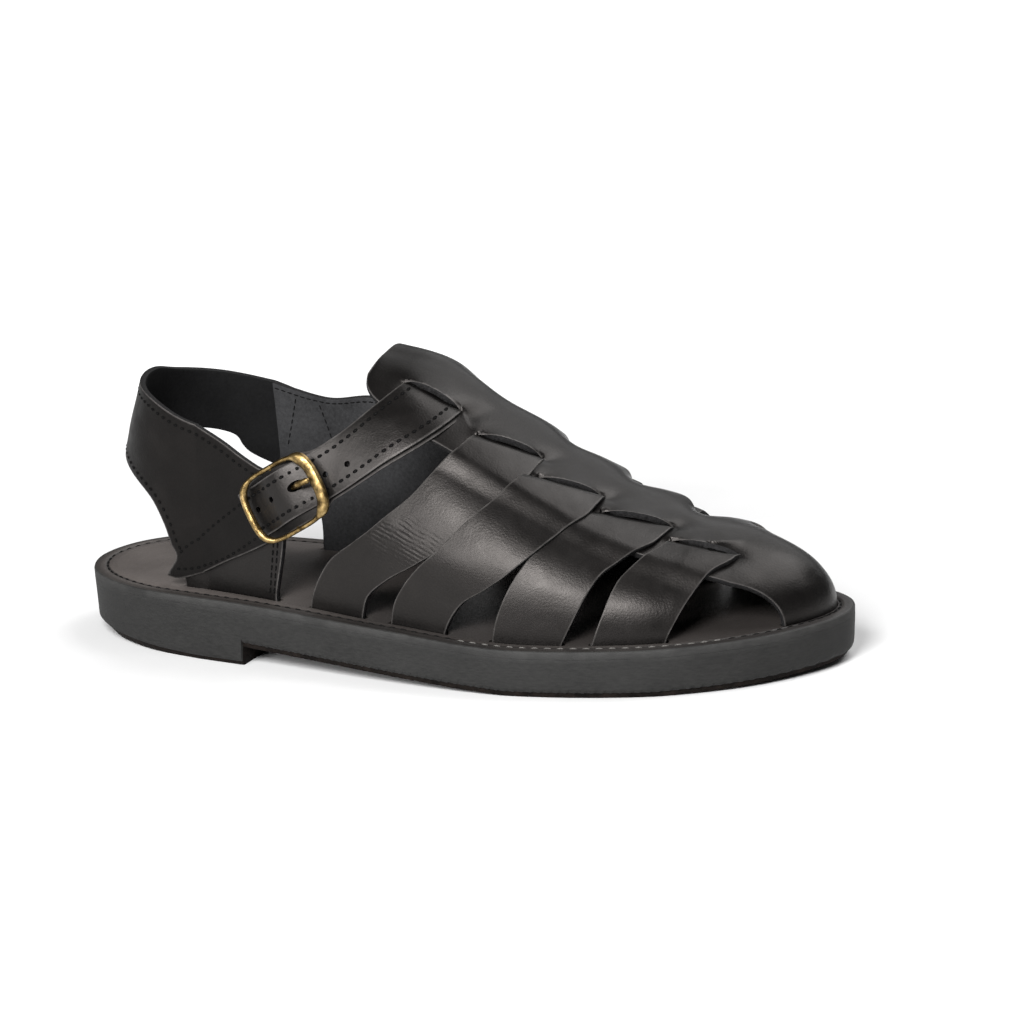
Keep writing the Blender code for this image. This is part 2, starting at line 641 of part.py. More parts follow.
def strap_grid(rows, side, columns=4):
    """Grid of a cross strap on the last, from the insole up to the centre strip."""
    rows = sorted(rows, key=lambda row: row[0])
    places = np.array([1, 0.985, 0.955, 0.91, 0.86, 0.8, 0.72, 0.63, 0.54, 0.45, 0.36, 0.29,
                       0.23, 0.17, 0.12])
    rear = table(rows, places, 1)
    front = table(rows, places, 2)
    share = np.linspace(0, 1, columns)
    x = rear[:, None] + (front - rear)[:, None] * share
    return on_last(x, side * places[:, None] + 0 * x), places


def ridge_distance(grid):
    """Distance of each grid point from the ridge, measured over the last."""
    reach = np.empty(grid.shape[:2])
    places = np.linspace(0, 1, 160) ** 1.3
    for index in np.ndindex(reach.shape):
        x, y, _ = grid[index]
        side = -1 if y < table(LAST, x, RIDGE) else 1
        section = on_last(np.full(len(places), x), side * places)
        length = np.r_[0, np.cumsum(np.linalg.norm(np.diff(section, axis=0), axis=1))]
        reach[index] = np.interp(abs(y - section[0, 1]), np.abs(section[:, 1] - section[0, 1]), length)
    return reach


def cross_strap(name, rows, side, extra):
    """One half of a cross strap: seated in the insole, over the margin, into its slit."""
    grid, places = strap_grid(rows, side)
    reach = ridge_distance(grid)
    x = grid[..., 0]
    past_slit = reach - slit_line(x)
    over_margin = smooth((past_slit + 1) / 4)
    off_strip = smooth((reach - table(STRIP_WIDTH, x) - 1) / 12)
    near_sole = smooth((places - 0.88) / 0.1)[:, None]
    height = (0.7 + 1.1 * over_margin) * (1 - off_strip) * (1 - near_sole)
    height = height + extra * (1 - smooth((places - 0.7) / 0.22))[:, None]
    grid = with_seat(grid, False)
    height = np.vstack([height[:1], height])
    item = sheet(name, lifted(grid, height), lifted(grid, height + LEATHER))
    return item, grid[1], last_normals(grid[0])


def upper_and_slots():
    """The woven upper as one solid, and a cutter for each leather end in the insole."""
    upper, toe_base, toe_out = centre_strip()
    cutters = [slot_cutter("toe_slot", toe_base, toe_out)]
    for side, straps in ((-1, OUTER_STRAPS), (1, INNER_STRAPS)):
        for number, rows in enumerate(straps):
            extra = OVERLAP_LIFT[number] if side < 0 else 0.0
            strap, base, out = cross_strap("strap", rows, side, extra)
            cutters.append(slot_cutter("strap_slot", base, out))
            combine(upper, strap, "UNION")
    return upper, cutters


def wall_piece(name, profile, side, low_x, high_x, columns, rows):
    """A piece of side wall: its side view cut from the last's wall, which is given too."""
    x = np.linspace(low_x, high_x, columns)
    turn = np.where(x < HEEL_CENTRE, np.nan, turn_at(x))
    depth = HEEL_CENTRE - float(table(HEEL_BACK, 24))
    near = np.clip((HEEL_CENTRE - x) / depth, 0, 1) ** (HEEL_ROUND / 2)
    turn = side * np.where(np.isnan(turn), np.arccos(near) * 2 / math.pi, turn)
    base = table(INSOLE_TOP, x) - SEAT
    z = base + (95 - base) * np.linspace(0, 1, rows)[:, None] ** 1.1
    grid = heel_cup(turn[None, :] + 0 * z, z)
    out = cup_normals(grid)
    item = sheet(name, grid, grid + out * LEATHER)
    combine(item, side_prism("profile", profile, *sorted((0, side * 90))), "INTERSECT")
    return item, grid, out


def side_slot(grid, out, rear_x, front_x, columns=9):
    """Slot cutter under a wall piece between two lengths."""
    base, normal = grid[0], out[0]
    x = np.linspace(rear_x, front_x, columns)
    order = np.argsort(base[:, 0])
    line = np.stack([np.interp(x, base[order, 0], base[order, k]) for k in range(3)], axis=1)
    line[:, 2] = table(INSOLE_TOP, x)
    face = np.stack([np.interp(x, base[order, 0], normal[order, k]) for k in range(3)], axis=1)
    return slot_cutter("side_slot", line, face)


def heel_band():
    """Band round the heel, with a low point on the outer side and its end at the buckle."""
    under = LEATHER + GAP
    turn = np.r_[np.linspace(-2.2, -1.1, 11), np.linspace(-1, 1, 25), np.linspace(1.08, 1.3, 3)]
    z = np.linspace(22, 100, 10)[:, None]
    grid = heel_cup(turn[None, :] + 0 * z, z)
    item = sheet("heel_band", lifted(grid, under, cup_normals),
                 lifted(grid, under + LEATHER, cup_normals))
    profile = side_prism("outer_view", BAND_OUTER, -90, HEEL_MIDDLE + 0.1)
    combine(profile, side_prism("inner_view", BAND_INNER, HEEL_MIDDLE - 0.1, 90), "UNION")
    combine(item, profile, "INTERSECT")
    return item


def along_strap(distance, across):
    """Side view x and z of a point by its place along and across the strap in the buckle."""
    angle = math.radians(BUCKLE_ANGLE)
    x = BUCKLE_X + distance * math.cos(angle) - across * math.sin(angle)
    z = BUCKLE_Z + distance * math.sin(angle) + across * math.cos(angle)
    return x, z


def ankle_strap_grid(columns=5):
    """Grid of the ankle strap from its end in the buckle over the instep to the inner side."""
    share = np.linspace(0, 1, columns)
    x_rows, place_rows, heights = [], [], []
    for distance, height in STRAP_IN_BUCKLE:
        rear_x, rear_z = along_strap(distance, STRAP_EDGES[0])
        front_x, front_z = along_strap(distance, STRAP_EDGES[1])
        x = rear_x + (front_x - rear_x) * share
        z = rear_z + (front_z - rear_z) * share
        x_rows.append(x)
        place_rows.append(-place_at(x, z))
        heights.append(height)
    shoulder = [(*row, -1) for row in STRAP_TO_SLIT]
    mirrored = [(*row, 1) for row in STRAP_TO_SLIT[::-1]] + [(*row, 1) for row in STRAP_INNER_END]
    for rear_x, rear, front_x, front, height, side in shoulder + mirrored:
        x_rows.append(rear_x + (front_x - rear_x) * share)
        place_rows.append(side * (rear + (front - rear) * share))
        heights.append(height)
    grid = on_last(np.array(x_rows), np.array(place_rows))
    return grid, np.array(heights)


def ankle_strap():
    """Ankle strap with its row of holes; it runs through the first slit of the centre strip."""
    grid, heights = ankle_strap_grid()
    item = sheet("ankle_strap", lifted(grid, heights[:, None]),
                 lifted(grid, heights[:, None] + LEATHER))
    for distance, across in HOLES:
        combine(item, hole_cutter(distance, across, HOLE_RADIUS, HOLE_RADIUS), "DIFFERENCE")
    combine(item, hole_cutter(*PRONG_HOLE, *PRONG_HOLE_SIZE), "DIFFERENCE")
    return item


def strap_clearance():
    """The ankle strap with room round it, to open the slits of the centre strip."""
    grid, heights = ankle_strap_grid()
    first = len(STRAP_IN_BUCKLE)
    edge = grid[:, 0] - grid[:, 1]
    grid[:, 0] += edge / np.linalg.norm(edge, axis=1)[:, None] * (GAP + 0.1)
    edge = grid[:, -1] - grid[:, -2]
    grid[:, -1] += edge / np.linalg.norm(edge, axis=1)[:, None] * (GAP + 0.1)
    free = np.where(heights < 2, heights - 1.5, heights - GAP)
    low = lifted(grid, free[:, None])[first:]
    high = lifted(grid, heights[:, None] + LEATHER + GAP)[first:]
    return sheet("strap_clearance", low, high)


def buckle_frame_axes():
    """Origin and directions of the buckle: along the strap, across it and outwards."""
    def spot(distance, across):
        x, z = along_strap(distance, across)
        return wall(x, z, -1)
    origin = spot(0, 0)
    along = spot(8, 0) - spot(-8, 0)
    across = spot(0, 8) - spot(0, -8)
    along /= np.linalg.norm(along)
    out = np.cross(along, across)
    out /= np.linalg.norm(out)
    if out[1] > 0:
        out = -out
    across = np.cross(out, along)
    across /= np.linalg.norm(across)
    if across[2] < 0:
        across = -across
    return origin, along, across, out


def in_buckle(distance, across, height):
    """World point from distances along and across the strap and out from the last."""
    origin, along_axis, across_axis, out_axis = buckle_frame_axes()
    distance, across, height = np.broadcast_arrays(distance, across, height)
    return (origin + distance[..., None] * along_axis + across[..., None] * across_axis
            + height[..., None] * out_axis)


def hole_cutter(distance, across, half_length, half_width, sides=12):
    """A pin that cuts a round or oval hole through the strap."""
    angle = np.linspace(0, 2 * math.pi, sides, endpoint=False)
    x = distance + half_length * np.cos(angle)
    y = across + half_width * np.sin(angle)
    vertices = np.vstack([in_buckle(x, y, 0 * x), in_buckle(x, y, 0 * x + 14)])
    index = np.arange(sides)
    following = np.roll(index, -1)
    faces = [tuple(index), tuple(index + sides)]
    faces += [tuple(f) for f in np.stack([index, following, following + sides, index + sides], 1)]
    return new_object("hole", vertices, faces)


def swept(name, centre, side, up, half_width, half_height, closed, sections=8):
    """A bar with an oval section along a path."""
    angle = np.linspace(0, 2 * math.pi, sections, endpoint=False)
    ring = (centre[:, None] + side[:, None] * (half_width[:, None] * np.cos(angle))[..., None]
            + up[:, None] * (half_height[:, None] * np.sin(angle))[..., None])
    count = len(centre)
    index = np.arange(count * sections).reshape(count, sections)
    beyond = np.roll(index, -1, axis=1)
    if closed:
        after = np.roll(index, -1, axis=0)
        after_beyond = np.roll(beyond, -1, axis=0)
        faces = np.stack([index, beyond, after_beyond, after], axis=-1).reshape(-1, 4).tolist()
    else:
        faces = np.stack([index[:-1], beyond[:-1], beyond[1:], index[1:]], -1).reshape(-1, 4).tolist()
        faces += [index[0].tolist(), index[-1].tolist()]
    return new_object(name, ring.reshape(-1, 3), faces)


def buckle_outline(count=44):
    """Middle line of the frame: a rectangle with round corners and bowed ends."""
    angle = np.linspace(0, 2 * math.pi, count, endpoint=False) + math.pi / count
    power = 2 / 4.2
    along = BUCKLE_HALF_LENGTH * np.sign(np.cos(angle)) * np.abs(np.cos(angle)) ** power
    across = BUCKLE_HALF_WIDTH * np.sign(np.sin(angle)) * np.abs(np.sin(angle)) ** power
    bow = BUCKLE_BOW * (1 - (across / BUCKLE_HALF_WIDTH) ** 2)
    along = along + np.sign(along) * bow * smooth(np.abs(along) / BUCKLE_HALF_LENGTH)
    return along, across - BUCKLE_LOW


def buckle_frame():
    """Brass frame with domed end bars, thin sides and a low centre bar."""
    along, across = buckle_outline()
    end_share = smooth((np.abs(along) / BUCKLE_HALF_LENGTH - 0.62) / 0.33)
    height = BUCKLE_OUT - along * math.tan(math.radians(BUCKLE_TILT))
    centre = in_buckle(along, across, height)
    path = np.roll(centre, -1, axis=0) - np.roll(centre, 1, axis=0)
    path /= np.linalg.norm(path, axis=1)[:, None]
    out = buckle_frame_axes()[3]
    side = np.cross(path, out)
    side /= np.linalg.norm(side, axis=1)[:, None]
    end_bar = np.where(along[:, None] > 0, FRONT_BAR, REAR_BAR)
    bar = SIDE_BAR + (end_bar - SIDE_BAR) * end_share[:, None]
    up = np.broadcast_to(out, side.shape)
    item = swept("buckle_frame", centre, side, up, bar[:, 0], bar[:, 1], True)
    reach = np.array([-1.0, -0.93, -0.8, 0.8, 0.93, 1.0]) * BUCKLE_HALF_WIDTH - BUCKLE_LOW
    drop = np.array([BUCKLE_OUT, BUCKLE_OUT - 1.2, CENTRE_BAR_OUT, CENTRE_BAR_OUT,
                     BUCKLE_OUT - 1.2, BUCKLE_OUT])
    bar_centre = in_buckle(0 * reach, reach, drop)
    along_axis = np.broadcast_to(buckle_frame_axes()[1], bar_centre.shape)
    radius = np.full(len(reach), CENTRE_BAR_RADIUS)
    bar_path = np.gradient(bar_centre, axis=0)
    bar_path /= np.linalg.norm(bar_path, axis=1)[:, None]
    bar_up = np.cross(bar_path, along_axis)
    bar = swept("centre_bar", bar_centre, along_axis, bar_up, radius, radius, False)
    combine(item, bar, "UNION")
    return item


def buckle_prong():
    """Prong from the centre bar through the strap onto the front end bar."""
    rows = np.array(PRONG)
    lean = PRONG_HOLE[1] - PRONG_SLANT * (rows[:, 0] - PRONG_HOLE[0])
    centre = in_buckle(rows[:, 0], lean, rows[:, 1])
    across = np.broadcast_to(buckle_frame_axes()[2], centre.shape)
    path = np.gradient(centre, axis=0)
    path /= np.linalg.norm(path, axis=1)[:, None]
    up = np.cross(path, across)
    return swept("buckle_prong", centre, across, up, rows[:, 2], rows[:, 3], False)


def clear_scene():
    """Start from an empty scene."""
    for item in list(bpy.data.objects):
        bpy.data.objects.remove(item)


def build_sandal():
    """Make every piece and give it its material."""
    clear_scene()
    rubber = make_material("rubber", (0.03, 0.03, 0.032), 0.75)
    leather = make_material("black_leather", (0.018, 0.017, 0.017), 0.42)
    insole_leather = make_material("insole_leather", (0.06, 0.052, 0.046), 0.7)
    brass = make_material("brass", (0.42, 0.33, 0.17), 0.35, 1.0)

    finish(outsole(), rubber)
    upper, cutters = upper_and_slots()
    combine(upper, strap_clearance(), "DIFFERENCE")
    finish(upper, leather)

    tab, grid, out = wall_piece("side_tab", TAB_OUTER, -1, 48, 99, 12, 7)
    cutters.append(side_slot(grid, out, TAB_OUTER[0][0], TAB_OUTER[-1][0]))
    finish(tab, leather)
    quarter, grid, out = wall_piece("inner_quarter", QUARTER_INNER, 1, 60, 152, 20, 12)
    cutters.append(side_slot(grid, out, QUARTER_INNER[0][0], QUARTER_INNER[-1][0]))
    finish(quarter, leather)

    insole = insole_blank()
    for cutter in cutters:
        combine(insole, cutter, "DIFFERENCE")
    finish(insole, insole_leather)

    finish(heel_band(), leather)
    finish(ankle_strap(), leather)
    finish(buckle_frame(), brass, 60)
    finish(buckle_prong(), brass, 60)


build_sandal()
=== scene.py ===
# %% [markdown]
# # A fisherman sandal in leather, rubber and brass
# This lesson dresses a plain solid model of a right-foot sandal. The solid model gives the
# size and the place of every piece. Each cell below makes one piece again, in more detail,
# from the same measurements, and gives it a material made only of shader nodes.

# %% Load the solid model as a fixed frame
import math

import bmesh
import bpy
import numpy as np
from mathutils import Matrix, Vector
from mathutils.geometry import delaunay_2d_cdt


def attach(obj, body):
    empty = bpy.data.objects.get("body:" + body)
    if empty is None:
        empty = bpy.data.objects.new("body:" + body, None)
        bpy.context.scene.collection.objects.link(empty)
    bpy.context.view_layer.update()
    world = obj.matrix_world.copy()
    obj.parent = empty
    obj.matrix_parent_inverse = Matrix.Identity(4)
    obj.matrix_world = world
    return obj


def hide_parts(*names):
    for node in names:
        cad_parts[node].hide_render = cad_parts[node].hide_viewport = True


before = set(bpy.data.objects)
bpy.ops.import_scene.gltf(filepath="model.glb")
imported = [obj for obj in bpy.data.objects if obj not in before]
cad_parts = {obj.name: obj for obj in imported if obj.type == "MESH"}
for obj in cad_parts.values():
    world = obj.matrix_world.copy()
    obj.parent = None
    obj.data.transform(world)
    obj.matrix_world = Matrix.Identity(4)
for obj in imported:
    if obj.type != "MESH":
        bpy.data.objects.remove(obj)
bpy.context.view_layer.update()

# %% [markdown]
# ## Camera
# The photograph was taken from the buckle side, a little above the sandal, with a long lens.
# A camera can be aimed with a constraint, but here its three axes are written out, because
# the angles and the small roll were measured and should stay exactly as they are.

# %% Camera
MM = 0.001
FOCAL_PIXELS = 4611.25        # focal length in pixels of a 1024 pixel wide picture
TURN = math.radians(25.29)    # round from the buckle side towards the toe
TILT = math.radians(15.03)    # down towards the floor
ROLL = math.radians(-3.31)
CAMERA_PLACE = Vector((0.69639, -1.42166, 0.4731))

back = Vector((math.sin(TURN) * math.cos(TILT), -math.cos(TURN) * math.cos(TILT), math.sin(TILT)))
right = Vector((math.cos(TURN), math.sin(TURN), 0))
up = back.cross(right)
rolled_right = right * math.cos(ROLL) + up * math.sin(ROLL)
rolled_up = up * math.cos(ROLL) - right * math.sin(ROLL)

camera_data = bpy.data.cameras.new("camera")
camera_data.sensor_width = 36
camera_data.lens = FOCAL_PIXELS * 36 / 1024
camera_data.clip_start = 0.01
camera = bpy.data.objects.new("camera", camera_data)
axes = Matrix((rolled_right, rolled_up, back)).transposed().to_4x4()
camera.matrix_world = Matrix.Translation(CAMERA_PLACE) @ axes
bpy.context.scene.collection.objects.link(camera)
bpy.context.scene.camera = camera
print("lens, millimetres:", round(camera_data.lens, 1))

# %% [markdown]
# ## Floor and light
# The sandal stands on a white sweep among four large soft lamps. The key lamp, in front of the
# buckle side and above it, draws the broad highlights on the straps. A weaker lamp lower down
# towards the heel shows the sole's side, one high behind the toe gives the sheen along the top,
# and one far behind lights the sweep. A dim sky keeps the shadows from going black.

# %% Floor and light
scene = bpy.context.scene
scene.view_settings.view_transform = "Standard"

floor_mesh = bpy.data.meshes.new("floor")
floor_mesh.from_pydata([(-5, -5, 0), (5, -5, 0), (5, 5, 0), (-5, 5, 0)], [], [(0, 1, 2, 3)])
floor = bpy.data.objects.new("floor", floor_mesh)
scene.collection.objects.link(floor)

world = bpy.data.worlds.new("white_sky")
world.use_nodes = True
world.node_tree.nodes["Background"].inputs["Color"].default_value = (1, 1, 1, 1)
world.node_tree.nodes["Background"].inputs["Strength"].default_value = 0.08
scene.world = world


def soft_lamp(name, place, aim, size, power):
    """A square lamp at a place, turned so that its light falls on the aim point."""
    lamp_data = bpy.data.lights.new(name, "AREA")
    lamp_data.size = size
    lamp_data.energy = power
    lamp = bpy.data.objects.new(name, lamp_data)
    lamp.location = place
    lamp.rotation_euler = (Vector(aim) - Vector(place)).to_track_quat("-Z", "Y").to_euler()
    scene.collection.objects.link(lamp)
    return lamp


soft_lamp("key_lamp", (0.16, -1.04, 0.80), (0.02, 0, 0.04), 0.48, 21.5)
soft_lamp("side_lamp", (-0.36, -1.18, 0.50), (0, 0, 0.04), 0.55, 11)
soft_lamp("rear_lamp", (0.55, 0.50, 1.15), (0.02, 0, 0.03), 0.9, 11)
soft_lamp("backdrop_lamp", (0.10, 1.75, 1.30), (0, 0, 0.05), 1.7, 8)

# %% [markdown]
# ## The measurements
# All sizes are in millimetres: x runs from the back of the heel to the toe, y from the outer
# side (negative) to the inner side, z up from the floor. The tables hold a few numbers each,
# and smooth curves run through them.

# %% Tables of the sole and the last
LEATHER = 2.2
INSOLE = 2.5
SEAT = 2.2                    # how far a strap end reaches down into its insole slot
HEEL_BREAST = 80.0
TOE_CENTRE = 240.0
HEEL_CENTRE = 62.0
HEEL_MIDDLE = -3.0
HEEL_ROUND = 2.3
TURN_LENGTH = 45.0            # length of heel wall for one unit of turn

# Top edge of the sole seen from above: x, y
SOLE_OUTLINE = [
    (0, 1), (4.5, -15), (16, -28), (36, -38.5), (60, -43.6), (100, -49.6), (135, -54.6),
    (160, -57), (180, -57.4), (200, -55.4), (220, -51.2), (240, -44.4), (258, -34),
    (272, -22.5), (282, -10), (288, 1.5), (290, 12.5), (287.2, 23.5), (280, 32.5),
    (265, 41.8), (240, 48.4), (215, 50.6), (190, 49.3), (160, 43.5), (130, 38.2),
    (100, 36.6), (70, 38), (40, 37.6), (18, 31.5), (5, 19),
]
# x, how far the outer face of the upper stands in from the sole's edge
UPPER_INSET = [(0, 9.5), (50, 11), (100, 9.2), (140, 8.3), (240, 8.3), (265, 7), (290, 6)]
# x, height of the insole's top
INSOLE_TOP = [(0, 23.8), (70, 23.6), (140, 20.5), (195, 16.9), (240, 17.2), (290, 18.6)]
# x, height of the underside
UNDERSIDE = [(80, 6.9), (130, 4.1), (175, 1.0), (196, -0.4), (222, -0.4), (250, 0.4), (296, 2.2)]
# x, y of the last's ridge, height of the ridge over the insole, squareness of the section
LAST = [
    (50, -4, 106, 3.0), (85, -2, 102, 3.0), (105, 1, 89, 2.8), (120, 3, 80.5, 2.5),
    (135, 5, 78, 2.3), (150, 6, 71.5, 2.25), (165, 7, 63, 2.25), (180, 8, 54.5, 2.25),
    (195, 9, 45.5, 2.25), (210, 9.5, 37.5, 2.2), (225, 10, 31, 2.2), (240, 10.5, 26, 2.2),
    (255, 10.5, 24, 2.2), (290, 10.5, 23.5, 2.2),
]
RIDGE, CROWN, SQUARE = 1, 2, 3
# z, x of the inside of the heel band at the very back
HEEL_BACK = [(24, 33.5), (45, 27.5), (56, 25.2), (65, 24.1), (75, 26.2), (93, 32.2), (110, 36.2)]


# %% Smooth curves through the tables
def table(rows, x, column=1):
    """Smooth curve through one column of a table: cubic pieces that never overshoot."""
    rows = np.asarray(rows, float)
    t, v = rows[:, 0], rows[:, column]
    x = np.clip(np.asarray(x, float), t[0], t[-1])
    step = np.diff(t)
    slope = np.diff(v) / step
    before = 2 * step[1:] + step[:-1]
    after = step[1:] + 2 * step[:-1]
    rising = slope[:-1] * slope[1:] > 0
    left = np.where(rising, slope[:-1], 1)
    right_slope = np.where(rising, slope[1:], 1)
    tangent = np.zeros(len(t))
    tangent[0], tangent[-1] = slope[0], slope[-1]
    tangent[1:-1] = np.where(rising, (before + after) / (before / left + after / right_slope), 0)
    i = np.clip(np.searchsorted(t, x, side="right") - 1, 0, len(t) - 2)
    u = (x - t[i]) / step[i]
    start = v[i] * (1 + 2 * u) * (1 - u) ** 2 + tangent[i] * step[i] * u * (1 - u) ** 2
    end = v[i + 1] * u * u * (3 - 2 * u) + tangent[i + 1] * step[i] * u * u * (u - 1)
    return start + end


def smooth(value):
    """Ease from 0 to 1: three times the square less twice the cube, held at both ends."""
    value = np.clip(value, 0, 1)
    return value * value * (3 - 2 * value)


def run_length(points):
    """Distance along a line of points, 0 at the first one."""
    return np.r_[0, np.cumsum(np.linalg.norm(np.diff(points, axis=0), axis=1))]


def at_length(field, length, wanted):
    """Rows of a field at wanted distances, straight between the given rows."""
    return np.stack([np.interp(wanted, length, column) for column in field.T], axis=1)


def smooth_at(field, length, wanted):
    """Rows of a field at wanted distances, on the smooth curve through the given rows."""
    return np.stack([table(np.c_[length, column], wanted) for column in field.T], axis=1)


def unit(vectors):
    """The vectors, each divided by its own length."""
    return vectors / np.linalg.norm(vectors, axis=-1, keepdims=True)


def round_curve(points, per_span):
    """Centripetal Catmull-Rom curve from the second point to the last but one."""
    knots = np.r_[0, np.cumsum(np.linalg.norm(np.diff(points, axis=0), axis=1) ** 0.5)]
    spans = []
    for k in range(len(points) - 3):
        a, b, c, d = points[k:k + 4]
        ta, tb, tc, td = knots[k:k + 4]
        t = np.linspace(tb, tc, per_span, endpoint=False)[:, None]
        ab = (tb - t) / (tb - ta) * a + (t - ta) / (tb - ta) * b
        bc = (tc - t) / (tc - tb) * b + (t - tb) / (tc - tb) * c
        cd = (td - t) / (td - tc) * c + (t - tc) / (td - tc) * d
        abc = (tc - t) / (tc - ta) * ab + (t - ta) / (tc - ta) * bc
        bcd = (td - t) / (td - tb) * bc + (t - tb) / (td - tb) * cd
        spans.append((tc - t) / (tc - tb) * abc + (t - tb) / (tc - tb) * bcd)
    return np.vstack(spans)


def closed_curve(points, per_span=24):
    """Round closed curve through the points."""
    points = np.asarray(points, float)
    return round_curve(np.vstack([points[-1:], points, points[:2]]), per_span)


def outward(curve):
    """Unit normals of a closed curve: its direction turned by a quarter, away from the middle."""
    along = np.roll(curve, -1, axis=0) - np.roll(curve, 1, axis=0)
    normal = unit(np.c_[along[:, 1], -along[:, 0]])
    if (normal * (curve - curve.mean(axis=0))).sum() < 0:
        normal = -normal
    return normal


EDGE = closed_curve(SOLE_OUTLINE)
EDGE_OUT = outward(EDGE)
X_MIDDLE = (EDGE[:, 0].min() + EDGE[:, 0].max()) / 2
Y_MIDDLE = (EDGE[:, 1].min() + EDGE[:, 1].max()) / 2
FEATHER = EDGE - EDGE_OUT * (table(UPPER_INSET, EDGE[:, 0]) + LEATHER)[:, None]
print("sole outline, millimetres:", np.ptp(EDGE, axis=0).round(1))

# %% [markdown]
# ## The foot shape under the leather
# A shoe is made round a last, a solid foot shape. Every strap here is a strip of that
# surface, lifted by its place in the stack of layers. So the last is one formula: each
# cross-section is a superellipse between the ridge and the line where the last meets the
# insole, and in front of the toe centre the sections turn like spokes to make a dome.


# %% The last
def feather_runs():
    """The line where last and insole meet, as an outer and an inner run from heel to toe."""
    heel, toe = FEATHER[:, 0].argmin(), FEATHER[:, 0].argmax()
    ring = np.roll(FEATHER, -heel, axis=0)
    toe = (toe - heel) % len(ring)
    return ring[:toe + 1], np.vstack([ring[toe:], ring[:1]])[::-1]


FEATHER_OUTER, FEATHER_INNER = feather_runs()
TOE_RIDGE = float(table(LAST, TOE_CENTRE, RIDGE))


def feather(x, place):
    """y of the feather line, on the outer side where place is negative."""
    outer = np.interp(x, FEATHER_OUTER[:, 0], FEATHER_OUTER[:, 1])
    inner = np.interp(x, FEATHER_INNER[:, 0], FEATHER_INNER[:, 1])
    return np.where(np.asarray(place) < 0, outer, inner)


def toe_reach(angle):
    """Distance from the toe dome's centre to the feather line in a direction."""
    away = FEATHER - (TOE_CENTRE, TOE_RIDGE)
    front = away[:, 0] > -8
    bearing = np.arctan2(away[front, 1], away[front, 0])
    order = np.argsort(bearing)
    return np.interp(angle, bearing[order], np.hypot(*away[front].T)[order])


def last_share(x, y):
    """Share of the way from the ridge (0) to the feather line (1), along spokes at the toe."""
    ridge = table(LAST, x, RIDGE)
    share = np.abs(y - ridge) / np.abs(feather(x, y - ridge) - ridge)
    angle = np.arctan2(y - TOE_RIDGE, np.maximum(x - TOE_CENTRE, 1e-9))
    ray_share = np.hypot(x - TOE_CENTRE, y - TOE_RIDGE) / toe_reach(angle)
    return np.where(x > TOE_CENTRE, ray_share, share)


def last_height(x, y):
    """Height of the last: insole + crown * (1 - share^power)^(1/power)."""
    share = np.clip(last_share(x, y), 0, 1)
    power = table(LAST, x, SQUARE)
    return table(INSOLE_TOP, x) + table(LAST, x, CROWN) * (1 - share ** power) ** (1 / power)


def last_level(points):
    """share^power + rise^power, which is 1 on the last, less inside it and more outside."""
    x, y, z = points[..., 0], points[..., 1], points[..., 2]
    power = table(LAST, x, SQUARE)
    rise = np.clip((z - table(INSOLE_TOP, x)) / table(LAST, x, CROWN), 0, None)
    return last_share(x, y) ** power + rise ** power


def last_normals(points):
    """Unit normals of the last: the slope of last_level along the three axes."""
    step = 0.2
    slopes = []
    for axis in np.eye(3):
        slopes.append(last_level(points + step * axis) - last_level(points - step * axis))
    return unit(np.stack(slopes, axis=-1))


def on_last(x, place):
    """Points of the last: place -1 and 1 on the feather line, 0 on the ridge."""
    x, place = np.broadcast_arrays(np.asarray(x, float), np.asarray(place, float))
    ridge = table(LAST, x, RIDGE)
    swing = np.sin(np.abs(place) * math.pi / 2) ** (2 / table(LAST, x, SQUARE))
    y = ridge + (feather(x, place) - ridge) * swing
    return np.stack([x, y, last_height(x, y)], axis=-1)


def wall(x, z, side):
    """Points of the last's side wall by length and height; side is -1 outer, 1 inner."""
    x, z = np.broadcast_arrays(np.asarray(x, float), np.asarray(z, float))
    ridge = table(LAST, x, RIDGE)
    power = table(LAST, x, SQUARE)
    share = np.clip((z - table(INSOLE_TOP, x)) / table(LAST, x, CROWN), 0, 1)
    y = ridge + (feather(x, side) - ridge) * (1 - share ** power) ** (1 / power)
    return np.stack([x, y, z], axis=-1)


def place_at(x, z):
    """The place at which the last reaches height z (a positive number)."""
    share = np.clip((z - table(INSOLE_TOP, x)) / table(LAST, x, CROWN), 0, 1)
    return np.arccos(share ** (table(LAST, x, SQUARE) / 2)) * 2 / math.pi


def heel_cup(turn, z):
    """Wall round the heel: turn is -1..1 round the back, beyond that TURN_LENGTH a unit."""
    turn, z = np.broadcast_arrays(np.asarray(turn, float), np.asarray(z, float))
    angle = np.clip(np.abs(turn), 0, 1) * math.pi / 2
    ahead = HEEL_CENTRE + np.maximum(np.abs(turn) - 1, 0) * TURN_LENGTH
    side = wall(ahead, z, np.where(turn < 0, -1, 1))
    depth = HEEL_CENTRE - table(HEEL_BACK, z)
    x = np.where(np.abs(turn) < 1, HEEL_CENTRE - depth * np.cos(angle) ** (2 / HEEL_ROUND), ahead)
    spread = np.sin(angle) ** (2 / HEEL_ROUND)
    y = HEEL_MIDDLE + (side[..., 1] - HEEL_MIDDLE) * spread
    y = np.where(np.abs(turn) < 1, y, side[..., 1])
    return np.stack([x, y, z], axis=-1)


print("top of the last at x 150:", float(last_height(150.0, 6.0)).__round__(1), "mm")

# %% [markdown]
# ## From numbers to meshes
# Blender can extrude and cut shapes by hand, but leather that follows a foot is easier as a
# grid of computed points. These helpers turn a grid, a stack of rings or a filled outline
# into a mesh, always in metres and always in place, so that no object is moved afterwards.


# %% Mesh helpers
def to_metres(points):
    """Model metres: millimetres from the middle of the sole, divided by a thousand."""
    return (np.asarray(points, float) - (X_MIDDLE, Y_MIDDLE, 0)) * MM


